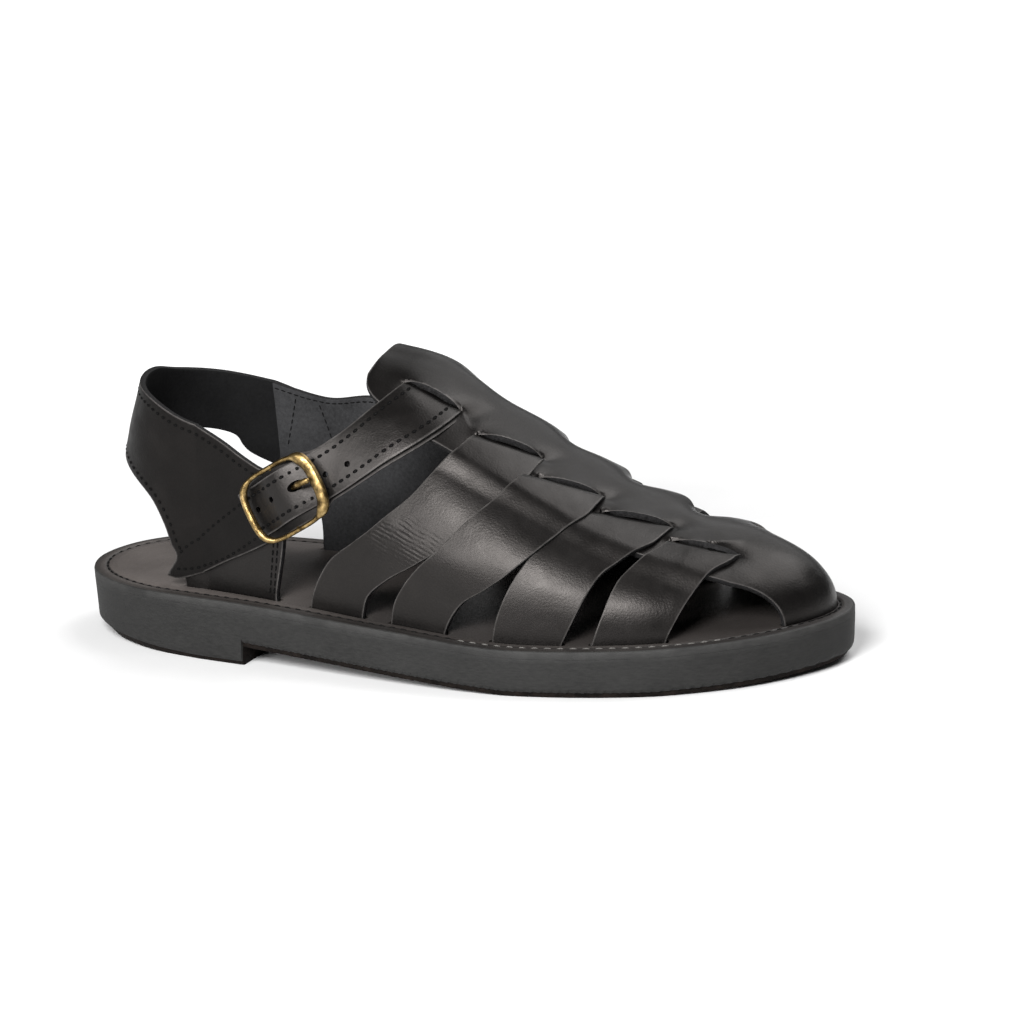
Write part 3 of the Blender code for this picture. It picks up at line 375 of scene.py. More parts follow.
def new_piece(name, points, faces, materials, face_material=None, attributes=None):
    """A mesh object from millimetre points and index faces, shaded smooth."""
    mesh = bpy.data.meshes.new(name)
    mesh.from_pydata(to_metres(points).tolist(), [], [list(map(int, face)) for face in faces])
    for material in materials:
        mesh.materials.append(material)
    if face_material is not None:
        mesh.polygons.foreach_set("material_index", np.asarray(face_material, np.int32))
    for key, values in (attributes or {}).items():
        layer = mesh.attributes.new(key, "FLOAT", "POINT")
        layer.data.foreach_set("value", np.asarray(values, np.float32).ravel())
    mesh.shade_smooth()
    piece = bpy.data.objects.new(name, mesh)
    scene.collection.objects.link(piece)
    return piece


def grid_faces(rows, columns):
    """Quads of a grid whose points are numbered row by row."""
    row, column = np.meshgrid(np.arange(rows - 1), np.arange(columns - 1), indexing="ij")
    first = (row * columns + column).ravel()
    return np.stack([first, first + 1, first + columns + 1, first + columns], axis=1)


def ring_faces(rings, sides, closed=False):
    """Quads between rings numbered one after the other; closed joins the last to the first."""
    index = np.arange(rings * sides).reshape(rings, sides)
    beyond = np.roll(index, -1, axis=1)
    quads = np.stack([index, beyond, np.roll(beyond, -1, axis=0), np.roll(index, -1, axis=0)], axis=-1)
    return (quads if closed else quads[:-1]).reshape(-1, 4)


def together(parts):
    """Points and faces of several parts as one list of each."""
    points, faces, count = [], [], 0
    for part_points, part_faces in parts:
        points.append(part_points)
        faces += [[i + count for i in face] for face in part_faces]
        count += len(part_points)
    return np.vstack(points), faces


def faces_away(points, faces, normals):
    """The faces, turned round as a whole if they look against the given normals."""
    corners = points[faces]
    face_normal = np.cross(corners[:, 1] - corners[:, 0], corners[:, 2] - corners[:, 0])
    if (face_normal * normals[faces[:, 0]]).sum() < 0:
        return faces[:, ::-1]
    return faces


def as_leather(piece, thickness=LEATHER, ease=0.35):
    """Give an outer face its thickness inwards and ease the cut edges with a small bevel."""
    wall_thickness = piece.modifiers.new("thickness", "SOLIDIFY")
    wall_thickness.thickness = thickness * MM
    wall_thickness.offset = -1
    wall_thickness.use_quality_normals = True
    wall_thickness.material_offset = 1
    wall_thickness.material_offset_rim = 2
    eased = piece.modifiers.new("eased_edge", "BEVEL")
    eased.width = ease * MM
    eased.segments = 2
    eased.limit_method = "ANGLE"
    eased.angle_limit = math.radians(50)
    eased.material = -1
    return piece


def settle(piece):
    """Replace the mesh by its finished form, so that no modifier is left on the piece."""
    graph = bpy.context.evaluated_depsgraph_get()
    result = bpy.data.meshes.new_from_object(piece.evaluated_get(graph))
    piece.modifiers.clear()
    piece.data = result
    result.name = piece.name


def keep(piece, nodes):
    """Let a piece ride on the sandal and stand for its solid nodes."""
    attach(piece, "root")
    if nodes:
        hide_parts(*nodes)
    print(piece.name, "faces:", len(piece.data.polygons))


# %% [markdown]
# ## Materials
# Every finish is a small tree of noise and colour nodes on object coordinates, so that grain
# and scuffs keep their real size in metres. Bump nodes carry detail too fine for the mesh. The
# class below adds one node at a time and hands back its output, so a finish reads as a list.


# %% Node helpers
class Finish:
    """A node material in the making, with its shader inputs and object coordinates."""

    def __init__(self, name):
        """An empty node material of that name."""
        self.material = bpy.data.materials.new(name)
        self.material.use_nodes = True
        self.tree = self.material.node_tree
        self.inputs = self.tree.nodes["Principled BSDF"].inputs
        self.place = self.tree.nodes.new("ShaderNodeTexCoord").outputs["Object"]

    def node(self, kind, values, **settings):
        """A shader node with its settings; each value is a socket to link or a plain value."""
        node = self.tree.nodes.new("ShaderNode" + kind)
        for key, setting in settings.items():
            setattr(node, key, setting)
        for key, value in values.items():
            if isinstance(value, bpy.types.NodeSocket):
                self.tree.links.new(value, node.inputs[key])
            else:
                node.inputs[key].default_value = value
        return node

    def noise(self, size, detail=4.0, roughness=0.55, stretch=(1, 1, 1), distortion=0.0):
        """Noise whose blotches are about size millimetres across."""
        mapping = self.node("Mapping", {"Vector": self.place, "Scale": stretch})
        cloud = self.node("TexNoise", {"Vector": mapping.outputs["Vector"], "Scale": 1 / (size * MM),
                                       "Detail": detail, "Roughness": roughness,
                                       "Distortion": distortion})
        return cloud.outputs["Fac"]

    def cells(self, size):
        """Distance to the nearest point of a random net, for pores and pebbled grain."""
        values = {"Vector": self.place, "Scale": 1 / (size * MM), "Smoothness": 0.6}
        return self.node("TexVoronoi", values, feature="SMOOTH_F1").outputs["Distance"]

    def ramp(self, value, *stops):
        """Colours along a value: stops of position, red, green, blue."""
        node = self.node("ValToRGB", {"Fac": value})
        while len(node.color_ramp.elements) < len(stops):
            node.color_ramp.elements.new(0.5)
        for element, (position, *colour) in zip(node.color_ramp.elements, stops):
            element.position = position
            element.color = (*colour, 1)
        return node.outputs["Color"]

    def between(self, value, low, high, to_low, to_high):
        """Linear change of a value from one range to another, held at its ends."""
        return self.node("MapRange", {"Value": value, "From Min": low, "From Max": high,
                                      "To Min": to_low, "To Max": to_high}).outputs["Result"]

    def mix(self, share, first, second):
        """Colour mix; share, first and second are sockets or plain values."""
        return self.node("Mix", {0: share, 6: first, 7: second}, data_type="RGBA").outputs[2]

    def maths(self, operation, first, second=0.0):
        """A number from two numbers or sockets."""
        return self.node("Math", {0: first, 1: second}, operation=operation).outputs[0]

    def bump(self, height, depth, below=None):
        """Relief of depth millimetres from a height value, on top of another relief."""
        values = {"Strength": 1.0, "Distance": depth * MM, "Height": height}
        if below:
            values["Normal"] = below
        return self.node("Bump", values).outputs["Normal"]

    def attribute(self, name):
        """A number stored on the mesh."""
        return self.node("Attribute", {}, attribute_name=name).outputs["Fac"]

    def finished(self, colour, roughness, relief, specular):
        """The material, with colour, roughness and relief linked and its specular level set."""
        self.tree.links.new(colour, self.inputs["Base Color"])
        if isinstance(roughness, float):
            self.inputs["Roughness"].default_value = roughness
        else:
            self.tree.links.new(roughness, self.inputs["Roughness"])
        if relief:
            self.tree.links.new(relief, self.inputs["Normal"])
        self.inputs["Specular IOR Level"].default_value = specular
        return self.material


# %% [markdown]
# The outer leather is waxed, nearly black and warm, with a soft gloss. It is a little lighter
# along its cut edges, partly from rubbing and partly a painted highlight. The attribute edge holds the
# distance to the nearest
# cut edge in millimetres. Where the attribute crease is above zero, fine wrinkles run across the
# strap: a sine of the distance along it, made uneven by noise. The straps are glossier than the
# heel band, so one function makes both.


# %% Black leather
def black_leather(name, rough_low, rough_high, specular):
    """Waxed leather: cloudy dark colour, fine pores, soft creases, and cut edges lighter from rubbing and
    a painted highlight.
    """
    own = Finish(name)
    colour = own.ramp(own.noise(22, 5), (0.3, 0.0018, 0.0017, 0.0017), (0.55, 0.0030, 0.0027, 0.0026),
                      (0.75, 0.0056, 0.005, 0.0047))
    # Within 0.7 mm of a cut edge the colour turns lighter: leather lightened by rubbing, and a painted
    # highlight on the rounded edge, broken up by noise.
    near_edge = own.between(own.attribute("edge"), 0.0, 0.7, 0.9, 0.0)
    rubbed_and_painted_highlight = own.maths("MULTIPLY", near_edge, own.noise(3.5, 3))
    colour = own.mix(rubbed_and_painted_highlight, colour, (0.14, 0.131, 0.126, 1))
    rough = own.between(own.noise(9, 5, 0.6), 0.3, 0.7, rough_low, rough_high)
    pores = own.bump(own.cells(0.7), 0.026)
    grain = own.bump(own.noise(0.9, 4, 0.6), 0.026, pores)
    folds = own.bump(own.noise(16, 2, 0.4, distortion=0.6), 0.3, grain)
    wander = own.maths("MULTIPLY", own.noise(9, 3), 11.0)
    phase = own.maths("ADD", own.maths("MULTIPLY", own.attribute("along"), 3.4), wander)
    uneven = own.between(own.noise(5, 2), 0.4, 0.65, 0.1, 1.0)
    wrinkle = own.maths("MULTIPLY", own.maths("SINE", phase), own.attribute("crease"))
    relief = own.bump(own.maths("MULTIPLY", wrinkle, uneven), 0.055, folds)
    own.inputs["Specular Tint"].default_value = (1.0, 0.93, 0.89, 1)
    return own.finished(colour, rough, relief, specular)


def suede_inside(name, light):
    """The flesh side of the leather: charcoal, matt and slightly napped."""
    own = Finish(name)
    nap = own.noise(1.2, 6, 0.7)
    low, high = np.array([0.46, 0.46, 0.48]) * light, np.array([1.0, 1.0, 1.04]) * light
    colour = own.ramp(own.noise(18, 3), (0.3, *low), (0.7, *high))
    colour = own.mix(0.35, colour, own.ramp(nap, (0.3, *low * 0.6), (0.7, *high * 1.7)))
    return own.finished(colour, own.between(nap, 0.3, 0.7, 0.85, 1.0), own.bump(nap, 0.12), 0.1)


def cut_edge():
    """The bare cut edge of the leather: nearly black, with fine fibres."""
    own = Finish("leather_cut_edge")
    fibre = own.noise(0.9, 5, 0.7)
    colour = own.ramp(fibre, (0.3, 0.004, 0.0039, 0.004), (0.7, 0.022, 0.0214, 0.022))
    return own.finished(colour, own.between(fibre, 0.3, 0.7, 0.6, 0.85), own.bump(fibre, 0.08), 0.12)


# Each list holds the finish of the outer face, of the inside and of the cut edge
LEATHER_FACES = [black_leather("black_leather_strap", 0.31, 0.41, 0.265),
                 suede_inside("leather_inside", 0.009), cut_edge()]
DULL_FACES = [black_leather("black_leather_band", 0.42, 0.55, 0.12)] + LEATHER_FACES[1:]
QUARTER_FACES = [DULL_FACES[0], suede_inside("suede_inside", 0.038), LEATHER_FACES[2]]
print("leather finishes:", [material.name for material in LEATHER_FACES + QUARTER_FACES[:2]])

# %% [markdown]
# The sole is moulded rubber with a dry, finely brushed side. The layer that walks is darker
# and brownish. The insole is a matt brown-grey leather, with painted shade over the front, where
# the straps cover it, and the buckle is brass that has browned in patches. The paper under the sandal
# glows a little, but only away from it, so that the contact shadow stays.


# %% Rubber, insole leather, thread, brass and paper
def sole_rubber():
    """Moulded rubber: dark grey, faint level brush lines, scuffs and a painted highlight along the top,
    and smudges near the rim.
    """
    own = Finish("rubber_side")
    brushed = own.noise(0.8, 5, 0.65, stretch=(0.3, 0.3, 1.3))
    lines = own.ramp(brushed, (0.35, 0.004, 0.0039, 0.0037), (0.65, 0.026, 0.0255, 0.0245))
    cloud = own.ramp(own.noise(16), (0.3, 0.008, 0.0078, 0.0076), (0.7, 0.015, 0.0147, 0.0143))
    below_rim = own.attribute("edge")
    # Lighter within 4 mm of the insole's top, on the insole's rim and the top of the sole: scuffs and a
    # painted highlight, broken up by noise.
    scuff_and_painted_highlight = own.maths("MULTIPLY", own.between(below_rim, 0.0, 4.0, 0.30, 0.0), own.noise(6))
    colour = own.mix(scuff_and_painted_highlight, own.mix(0.45, cloud, lines), (0.12, 0.118, 0.115, 1))
    patches = own.between(own.noise(12, 5, stretch=(0.5, 0.5, 1.4)), 0.5, 0.68, 0.0, 1.0)
    smudge = own.maths("MULTIPLY", own.between(below_rim, 1.0, 8.0, 0.8, 0.0), patches)
    colour = own.mix(smudge, colour, (0.008, 0.0078, 0.0076, 1))
    relief = own.bump(own.noise(0.5, 3), 0.02, own.bump(brushed, 0.08))
    return own.finished(colour, own.between(brushed, 0.3, 0.7, 0.62, 0.8), relief, 0.3)


def tread_rubber():
    """The layer that walks: brownish black and dusty."""
    own = Finish("rubber_tread")
    dust = own.noise(5, 6, 0.65)
    colour = own.ramp(dust, (0.35, 0.003, 0.0023, 0.002), (0.7, 0.014, 0.0105, 0.009))
    relief = own.bump(own.noise(0.8), 0.1)
    return own.finished(colour, own.between(dust, 0.3, 0.7, 0.7, 0.9), relief, 0.08)


def insole_leather():
    """Insole leather: brown-grey at the heel, with painted shade further on, where the straps cover it."""
    own = Finish("insole_top")
    speck = own.noise(1.0, 4, 0.7)
    specks = own.ramp(speck, (0.3, 0.03, 0.0255, 0.0235), (0.7, 0.11, 0.095, 0.088))
    cloud = own.ramp(own.noise(30, 5), (0.3, 0.072, 0.062, 0.057), (0.7, 0.125, 0.110, 0.102))
    x = own.node("SeparateXYZ", {0: own.place}).outputs["X"]
    # Painted shade: the colour darkens from x 60 mm to 135 mm and stays dark in front, under the straps
    # and the strip.
    painted_strap_shade = own.between(x, -0.085, -0.01, 0.0, 0.72)
    colour = own.mix(painted_strap_shade, own.mix(0.25, cloud, specks), (0.010, 0.0085, 0.0078, 1))
    # The attribute groove darkens the dyed rim, and lays painted shade in the stitch groove and the strap
    # slots.
    shade = own.between(own.attribute("groove"), 0.0, 1.0, 0.0, 0.9)
    colour = own.mix(shade, colour, (0.006, 0.0053, 0.005, 1))
    relief = own.bump(own.noise(2.2), 0.1, own.bump(own.cells(0.8), 0.04))
    return own.finished(colour, own.between(speck, 0.3, 0.7, 0.40, 0.55), relief, 0.5)


def thread(name, dark, light):
    """Waxed thread with a fine twist; in near black the same finish is the painted shade in holes."""
    own = Finish(name)
    twist = own.noise(0.5, 3)
    return own.finished(own.ramp(twist, (0.3, *dark), (0.7, *light)), 0.8, own.bump(twist, 0.06), 0.06)


def aged_brass():
    """Brass: warm metal, brown in patches, rougher where it is brown."""
    own = Finish("aged_brass")
    patina = own.noise(3.2, 6, 0.62)
    colour = own.ramp(patina, (0.36, 0.050, 0.032, 0.013), (0.52, 0.25, 0.172, 0.070),
                      (0.72, 0.56, 0.41, 0.20))
    own.inputs["Metallic"].default_value = 1.0
    relief = own.bump(own.noise(0.9), 0.05)
    return own.finished(colour, own.between(patina, 0.3, 0.7, 0.5, 0.24), relief, 0.5)


def white_sweep():
    """Matt white paper that glows faintly, and more the further it is from the sandal."""
    own = Finish("white_sweep")
    colour = own.ramp(own.noise(40, 2), (0.3, 0.80, 0.80, 0.80), (0.7, 0.82, 0.82, 0.82))
    away = own.node("VectorMath", {0: own.place}, operation="LENGTH").outputs["Value"]
    own.tree.links.new(own.between(away, 0.22, 0.85, 0.0, 1.0), own.inputs["Emission Strength"])
    own.inputs["Emission Color"].default_value = (1, 1, 1, 1)
    return own.finished(colour, 0.9, None, 0.0)


RUBBER = sole_rubber()
TREAD = tread_rubber()
INSOLE_TOP_LEATHER = insole_leather()
BLACK_THREAD = thread("black_thread", (0.003, 0.003, 0.003), (0.012, 0.0115, 0.0115))
GREY_THREAD = thread("grey_thread", (0.07, 0.066, 0.062), (0.17, 0.164, 0.155))
# Near-black painted shade: the ovals under the stitches, and the walls of the holes punched in the ankle
# strap.
HOLE_SHADE = thread("painted_hole_shade", (0.0012, 0.0012, 0.0012), (0.003, 0.003, 0.003))
BRASS = aged_brass()
floor_mesh.materials.append(white_sweep())
print("materials:", len(bpy.data.materials))

# %% [markdown]
# ## Outsole
# The rubber sole is one moulding: a heel, an arch that lifts off the floor and a forefoot
# that rolls up at the toe. Its side is plain, and the lower edge of arch and forefoot is
# notched by the ends of the tread bars. Rings round the outline, one
# above the other, give all of these with one profile, and the underside is closed with
# strips from side to side. The insole is made by the same function.


# %% Stations round the sole
REAR_RUN = 92                 # about the length of the edge behind the heel breast
FRONT_RUN = 232               # and in front of it
BREAST_STEP = 0.7             # the heel breast leans by this much
STATION_STEP = 0.6


def sole_stations():
    """Edge points and outward normals, outer run then inner run, paired by their order.

    Both runs share their counts behind and in front of the heel breast, so that a strip
    from the first point of one run to the first of the other stays level with the breast.
    """
    curve = closed_curve(SOLE_OUTLINE, 70)
    normal = outward(curve)
    heel, toe = curve[:, 0].argmin(), curve[:, 0].argmax()
    curve, normal = np.roll(curve, -heel, axis=0), np.roll(normal, -heel, axis=0)
    toe = (toe - heel) % len(curve)
    runs = []
    for run in (np.arange(toe + 1), np.r_[np.arange(toe, len(curve)), 0][::-1]):
        length = run_length(curve[run])
        breast = np.interp(HEEL_BREAST, curve[run, 0], length)
        front = np.interp(HEEL_BREAST + BREAST_STEP, curve[run, 0], length)
        rear_count = int(REAR_RUN / STATION_STEP)
        wanted = np.r_[np.linspace(0, breast, rear_count),
                       np.linspace(front, length[-1], int(FRONT_RUN / STATION_STEP))]
        runs.append(at_length(np.c_[curve, normal][run], length, wanted))
    outer, inner = runs
    ring = np.vstack([outer, inner[-2:0:-1]])
    return ring, len(outer), rear_count


STATIONS, PAIRS, REAR_COUNT = sole_stations()
print("stations round the sole:", len(STATIONS))


def ring_at(inset, height):
    """Ring of points: the edge moved in by inset, at the given heights."""
    x, y, nx, ny = STATIONS.T
    return np.stack([x - nx * inset, y - ny * inset, height + 0 * x], axis=1)


def cap_faces(base, upwards):
    """Strips that close a ring from its outer run to its inner run."""
    count = len(STATIONS)
    left = np.arange(PAIRS - 1)
    strips = np.stack([left, left + 1, (count - left - 1) % count, (count - left) % count], axis=1)
    strips = strips[:, ::-1] if upwards else strips
    return [list(dict.fromkeys(strip)) for strip in (strips + base).tolist()]


def moulding(name, rings, lower_bands, finishes, attributes):
    """A closed body of rings; its lowest bands and its underside take the second finish."""
    count = len(STATIONS)
    points = np.vstack([ring_at(inset, height) for inset, height in rings])
    sides = ring_faces(len(rings), count).tolist()
    below = cap_faces(0, False)
    above = cap_faces((len(rings) - 1) * count, True)
    kinds = np.zeros(len(sides) + len(below) + len(above), int)
    kinds[:lower_bands * count] = 1
    kinds[len(sides):len(sides) + len(below)] = 1
    piece = new_piece(name, points, sides + below + above, finishes, kinds, attributes)
    piece.data.set_sharp_from_angle(angle=math.radians(40))
    return piece


# %% [markdown]
# The notches come from a triangle wave along the sole. At the back of the heel the walking
# layer slopes in and up, as it does where a heel is worn, and the wall above stays upright.

# %% Outsole
SOLE_X = STATIONS[:, 0]
BREAST_SIDE = np.r_[np.arange(PAIRS) >= REAR_COUNT,
                    np.arange(PAIRS - 2, 0, -1) >= REAR_COUNT]
NOTCH_PITCH = 3.1
NOTCH_DEPTH = 1.0
TREAD_THICKNESS = 2.0
HEEL_WEAR = 4.6               # the walking layer's edge rises by this much at the very back
TOE_ROUNDING = 2.0


def outsole():
    """Rings from the tread up to the rim; each has an inset and a height at every station."""
    top = table(INSOLE_TOP, SOLE_X) - INSOLE - 0.3
    bottom = np.where(BREAST_SIDE, np.maximum(table(UNDERSIDE, SOLE_X), 0), 0.0)
    heel_slope = np.clip(1 - SOLE_X / 60, 0, 1) ** 1.2
    rounding = TOE_ROUNDING * np.clip((SOLE_X - 262) / 28, 0, 1) ** 1.2
    wave = np.abs((SOLE_X / NOTCH_PITCH) % 1 * 2 - 1)
    notch = NOTCH_DEPTH * np.clip(wave * 1.5 - 0.5, 0, 1) * BREAST_SIDE

    def side(height):
        """Inset of the side wall at a height: a slight taper and the rounded ends."""
        share = np.clip(height / (top - 1.2), 0, 1)
        return 0.8 - 0.7 * share + rounding * np.interp(height, [0, 2.2, 5.5, 12], [1, 0.5, 0.12, 0])

    walk = bottom + TREAD_THICKNESS * np.where(BREAST_SIDE, 1.0, 0.85) + HEEL_WEAR * heel_slope
    span = top - 3.2 - walk
    rings = [
        (side(bottom) + 1.9 + 5.5 * heel_slope, bottom + notch * 0.9),
        (side(bottom) + 1.2 + 5 * heel_slope, bottom + 0.15),
        (side(bottom) + 0.95 + 4 * heel_slope, bottom + 0.6),
        (side(walk) + 0.85, walk - 0.05),
        (side(walk) + 0.30, walk + notch),
        (side(walk), walk + 0.35 + notch),
    ]
    rings += [(side(height), height) for height in (walk + 1.4, walk + 0.33 * span, walk + 0.66 * span,
                                                    top - 3.1)]
    rings += [(side(top - 1.6) - 0.02, top - 1.6), (0.05, top - 0.7), (0.06, top), (4.0, top)]
    from_top = np.concatenate([top - height + INSOLE for _, height in rings])
    return moulding("outsole_rubber", rings, 3, [RUBBER, TREAD], {"edge": from_top})


keep(outsole(), ["outsole"])

# %% [markdown]
# ## Insole
# A leather insole as wide as the sole lies on the rubber, and its blackened rim reaches down
# over the seam between them. A row of stitches runs in a groove near the rim, and the straps go
# down through slots further in. The same rings as before, seen from above, give the groove, and
# their depth is changed only where a strap enters. The attribute groove holds the rim's dye and
# painted shade in the groove and the slots.


# %% Where the straps enter the insole
# The straps' edges: place between ridge (0) and insole (1), rear edge x, front edge x
OUTER_STRAPS = [
    [(1.0, 107.4, 129.7), (0.96, 111.3, 131.8), (0.9, 117, 140), (0.83, 126, 151),
     (0.75, 135.5, 160.5), (0.6, 148.5, 171.5), (0.45, 155.2, 178.0), (0.3, 160.2, 182.2),
     (0.1, 163, 183)],
    [(1.0, 141.3, 162.8), (0.96, 142.6, 165.2), (0.9, 146.7, 169.8), (0.83, 152.8, 178),
     (0.75, 160, 185), (0.6, 169, 193.5), (0.45, 176, 199.6), (0.3, 180.3, 204.6),
     (0.1, 183.4, 205.4)],
    [(1.0, 180.6, 205.2), (0.96, 181.4, 206.8), (0.9, 183, 208.7), (0.83, 185.2, 210.6),
     (0.75, 187.8, 212.5), (0.6, 193, 216), (0.45, 198, 222.3), (0.3, 203.3, 228.2),
     (0.1, 206.2, 229.8)],
    [(1.0, 215.2, 239.1), (0.96, 216.2, 239.9), (0.9, 217.4, 241.2), (0.83, 218.7, 242.6),
     (0.75, 219.8, 244), (0.6, 222, 246.6), (0.45, 226.4, 249.6), (0.3, 230.8, 254.5),
     (0.1, 231.4, 256)],
]
INNER_STRAPS = [
    [(1.0, 146, 170), (0.8, 151, 174.5), (0.6, 156, 178.5), (0.35, 161, 182), (0.1, 163, 182.6)],
    [(1.0, 174, 199), (0.8, 177, 202), (0.6, 180, 204), (0.35, 183.9, 205.2), (0.1, 184, 205.4)],
    [(1.0, 204.5, 230), (0.8, 205.4, 230.5), (0.6, 206, 230.6), (0.35, 207, 229.6),
     (0.1, 207, 229.6)],
    [(1.0, 235.5, 260), (0.8, 234.5, 259), (0.6, 233, 258), (0.35, 231.6, 256.5),
     (0.1, 231.4, 256)],
]
STRIP_TOE_ANGLE = 31.0        # half the angle over which the centre strip meets the insole
TAB_FOOT = (52.3, 92.8)
QUARTER_FOOT = (78.4, 131.5)


def slot_share():
    """1 at the stations where a strap, tab or quarter enters the insole, else 0."""
    outer = np.arange(len(STATIONS)) < PAIRS
    feet_outer = [(rows[0][1], rows[0][2]) for rows in OUTER_STRAPS] + [TAB_FOOT]
    feet_inner = [(rows[0][1], rows[0][2]) for rows in INNER_STRAPS] + [QUARTER_FOOT]
    inset = table(UPPER_INSET, SOLE_X) + LEATHER
    foot = ring_at(inset, 0)
    share = np.zeros(len(STATIONS))
    for on_side, feet in ((outer, feet_outer), (~outer, feet_inner)):
        for rear, front in feet:
            inside = (foot[:, 0] > rear - 0.8) & (foot[:, 0] < front + 0.8)
            share = np.maximum(share, inside & on_side)
    angle = np.degrees(np.arctan2(foot[:, 1] - TOE_RIDGE, foot[:, 0] - TOE_CENTRE))
    at_toe = (np.abs(angle) < STRIP_TOE_ANGLE + 1) & (foot[:, 0] > TOE_CENTRE)
    return np.maximum(share, at_toe)


STITCH_INSET = 5.0            # distance of the stitch line from the rim
GROOVE_RINGS = 10             # the rings after this one are dark only where a strap enters


def insole():
    """Rings of inset, height over the insole's top and darkness, from the underside inwards; the darkness
    is dye near the rim and painted shade in the stitch groove and the strap slots.
    """
    top = table(INSOLE_TOP, SOLE_X)
    slot_depth = slot_share() * (SEAT + 0.15)
    outer_face = table(UPPER_INSET, SOLE_X)
    # The third number of each ring is its darkness: dye near the rim, painted shade in the stitch groove
    # and the strap slots.
    rings = [
        (0.3, -INSOLE - 0.25, 0), (0.06, -INSOLE - 0.25, 0), (0.0, -0.8, 0), (0.2, -0.25, 0),
        (0.7, 0, 0.8), (2.0, 0.05, 0.7), (STITCH_INSET - 1.6, 0.06, 0.35), (STITCH_INSET - 0.8, 0.0, 0.35),
        (STITCH_INSET - 0.35, -0.35, 0.9), (STITCH_INSET + 0.35, -0.35, 0.9),
        (STITCH_INSET + 0.8, 0.0, 0.1), (outer_face - 0.75, 0, 0), (outer_face - 0.45, 0, 0.5),
        (outer_face - 0.35, -slot_depth, 1), (outer_face + LEATHER + 0.4, -slot_depth, 1),
        (outer_face + LEATHER + 0.5, 0, 0.5), (outer_face + LEATHER + 0.9, 0, 0),
        (outer_face + LEATHER + 3, 0.0, 0),
    ]
    in_slot = slot_share()
    groove = [shade * in_slot if number > GROOVE_RINGS else shade + 0 * top
              for number, (_, _, shade) in enumerate(rings)]
    from_top = np.concatenate([-height + 0 * top for _, height, _ in rings])
    rings = [(inset, top + height) for inset, height, _ in rings]
    return moulding("insole_leather", rings, 4, [INSOLE_TOP_LEATHER, RUBBER],
                    {"groove": np.concatenate(groove), "edge": from_top})


keep(insole(), ["insole"])

# %% [markdown]
# ## Centre strip
# The long strip over the instep is cut with five slits on each side. Each strap comes up
# over the strip's margin, dives through a slit, passes under the middle and leaves on the
# other side. A plain grid can carry this: its points are moved onto the slit lines, and along
# each slit the points are doubled, so that the middle can rise while the margin stays down.
# The rise itself is found by relaxation: each point takes the mean height of its neighbours,
# over and over, but never sinks into the straps below. Leather stretched over straps does
# just that, so the soft dips between the straps come by themselves.

# %% Measurements of the strip
# x, half width measured over the instep
STRIP_WIDTH = [
    (121, 17), (122.3, 20.8), (124.3, 23.8), (126.8, 26), (129.8, 27.8), (140, 31),
    (150, 33.4), (200, 33), (240, 30), (256, 27),
]
TONGUE_END = 121.0
TOE_START = 256.0
TOE_HALF_WIDTHS = (27, 19)    # half width of the strip from there to the insole
# Slits: rear x, rear distance from the ridge, front x, front distance
SLITS = [
    (133.0, 17.6, 155.2, 16.7), (161.5, 22.6, 182.6, 13.3), (183.4, 24.8, 205.4, 13.8),
    (206.2, 22.9, 229.8, 11.0), (230.8, 20.2, 256.0, 13.7),
]
ROW_STEP = 0.8
STRIP_COLUMNS = 85


def slit_line(x):
    """Distance from the ridge to the slits, and a zigzag from one slit to the next."""
    knots = [(TONGUE_END, 12), (TONGUE_END + 8, SLITS[0][1] - 1)]
    for rear_x, rear, front_x, front in SLITS:
        knots += [(rear_x, rear), (front_x, front)]
    knots.append((SLITS[-1][2] + 6, SLITS[-1][3] + 3))
    knots = np.array(knots)
    return np.interp(x, knots[:, 0], knots[:, 1])


def arc_to_y(x, distance):
    """y at which the surface of the last lies a distance from the ridge, inner side positive."""
    places = np.r_[-np.linspace(1, 0, 120) ** 1.5, (np.linspace(0, 1, 120) ** 1.5)[1:]]
    section = on_last(np.full(len(places), x), places)
    length = run_length(section)
    return np.interp(distance, length - length[119], section[:, 1])


# Distance from the ridge over the last, as a table by side, x and place
REACH_X = np.arange(96.0, 292.0, 2.0)
REACH_PLACES = np.linspace(0, 1, 121)
REACH = []
for reach_side in (-1, 1):
    sections = on_last(REACH_X[:, None], reach_side * REACH_PLACES[None, :])
    steps = np.linalg.norm(np.diff(sections, axis=1), axis=2)
    REACH.append(np.c_[np.zeros(len(REACH_X)), np.cumsum(steps, axis=1)])


def reach_of(x, place):
    """Distance from the ridge over the last: a lookup between the four nearest entries."""
    column = np.clip((x - REACH_X[0]) / 2.0, 0, len(REACH_X) - 1.001)
    row = np.clip(np.abs(place) * 120, 0, 119.999)
    i, j = column.astype(int), row.astype(int)
    a, b = column - i, row - j
    both = np.stack(REACH)
    k = (np.asarray(place) > 0).astype(int)
    return ((1 - a) * (1 - b) * both[k, i, j] + a * (1 - b) * both[k, i + 1, j]
            + (1 - a) * b * both[k, i, j + 1] + a * b * both[k, i + 1, j + 1])


def strap_edges(number):
    """Rear and front edge of one strap by signed place, outer side negative."""
    outer = [(-place_value, rear, front) for place_value, rear, front in OUTER_STRAPS[number]]
    return outer + INNER_STRAPS[number][::-1]


print("width of the strip over the instep:", 2 * float(table(STRIP_WIDTH, 160.0)), "mm")

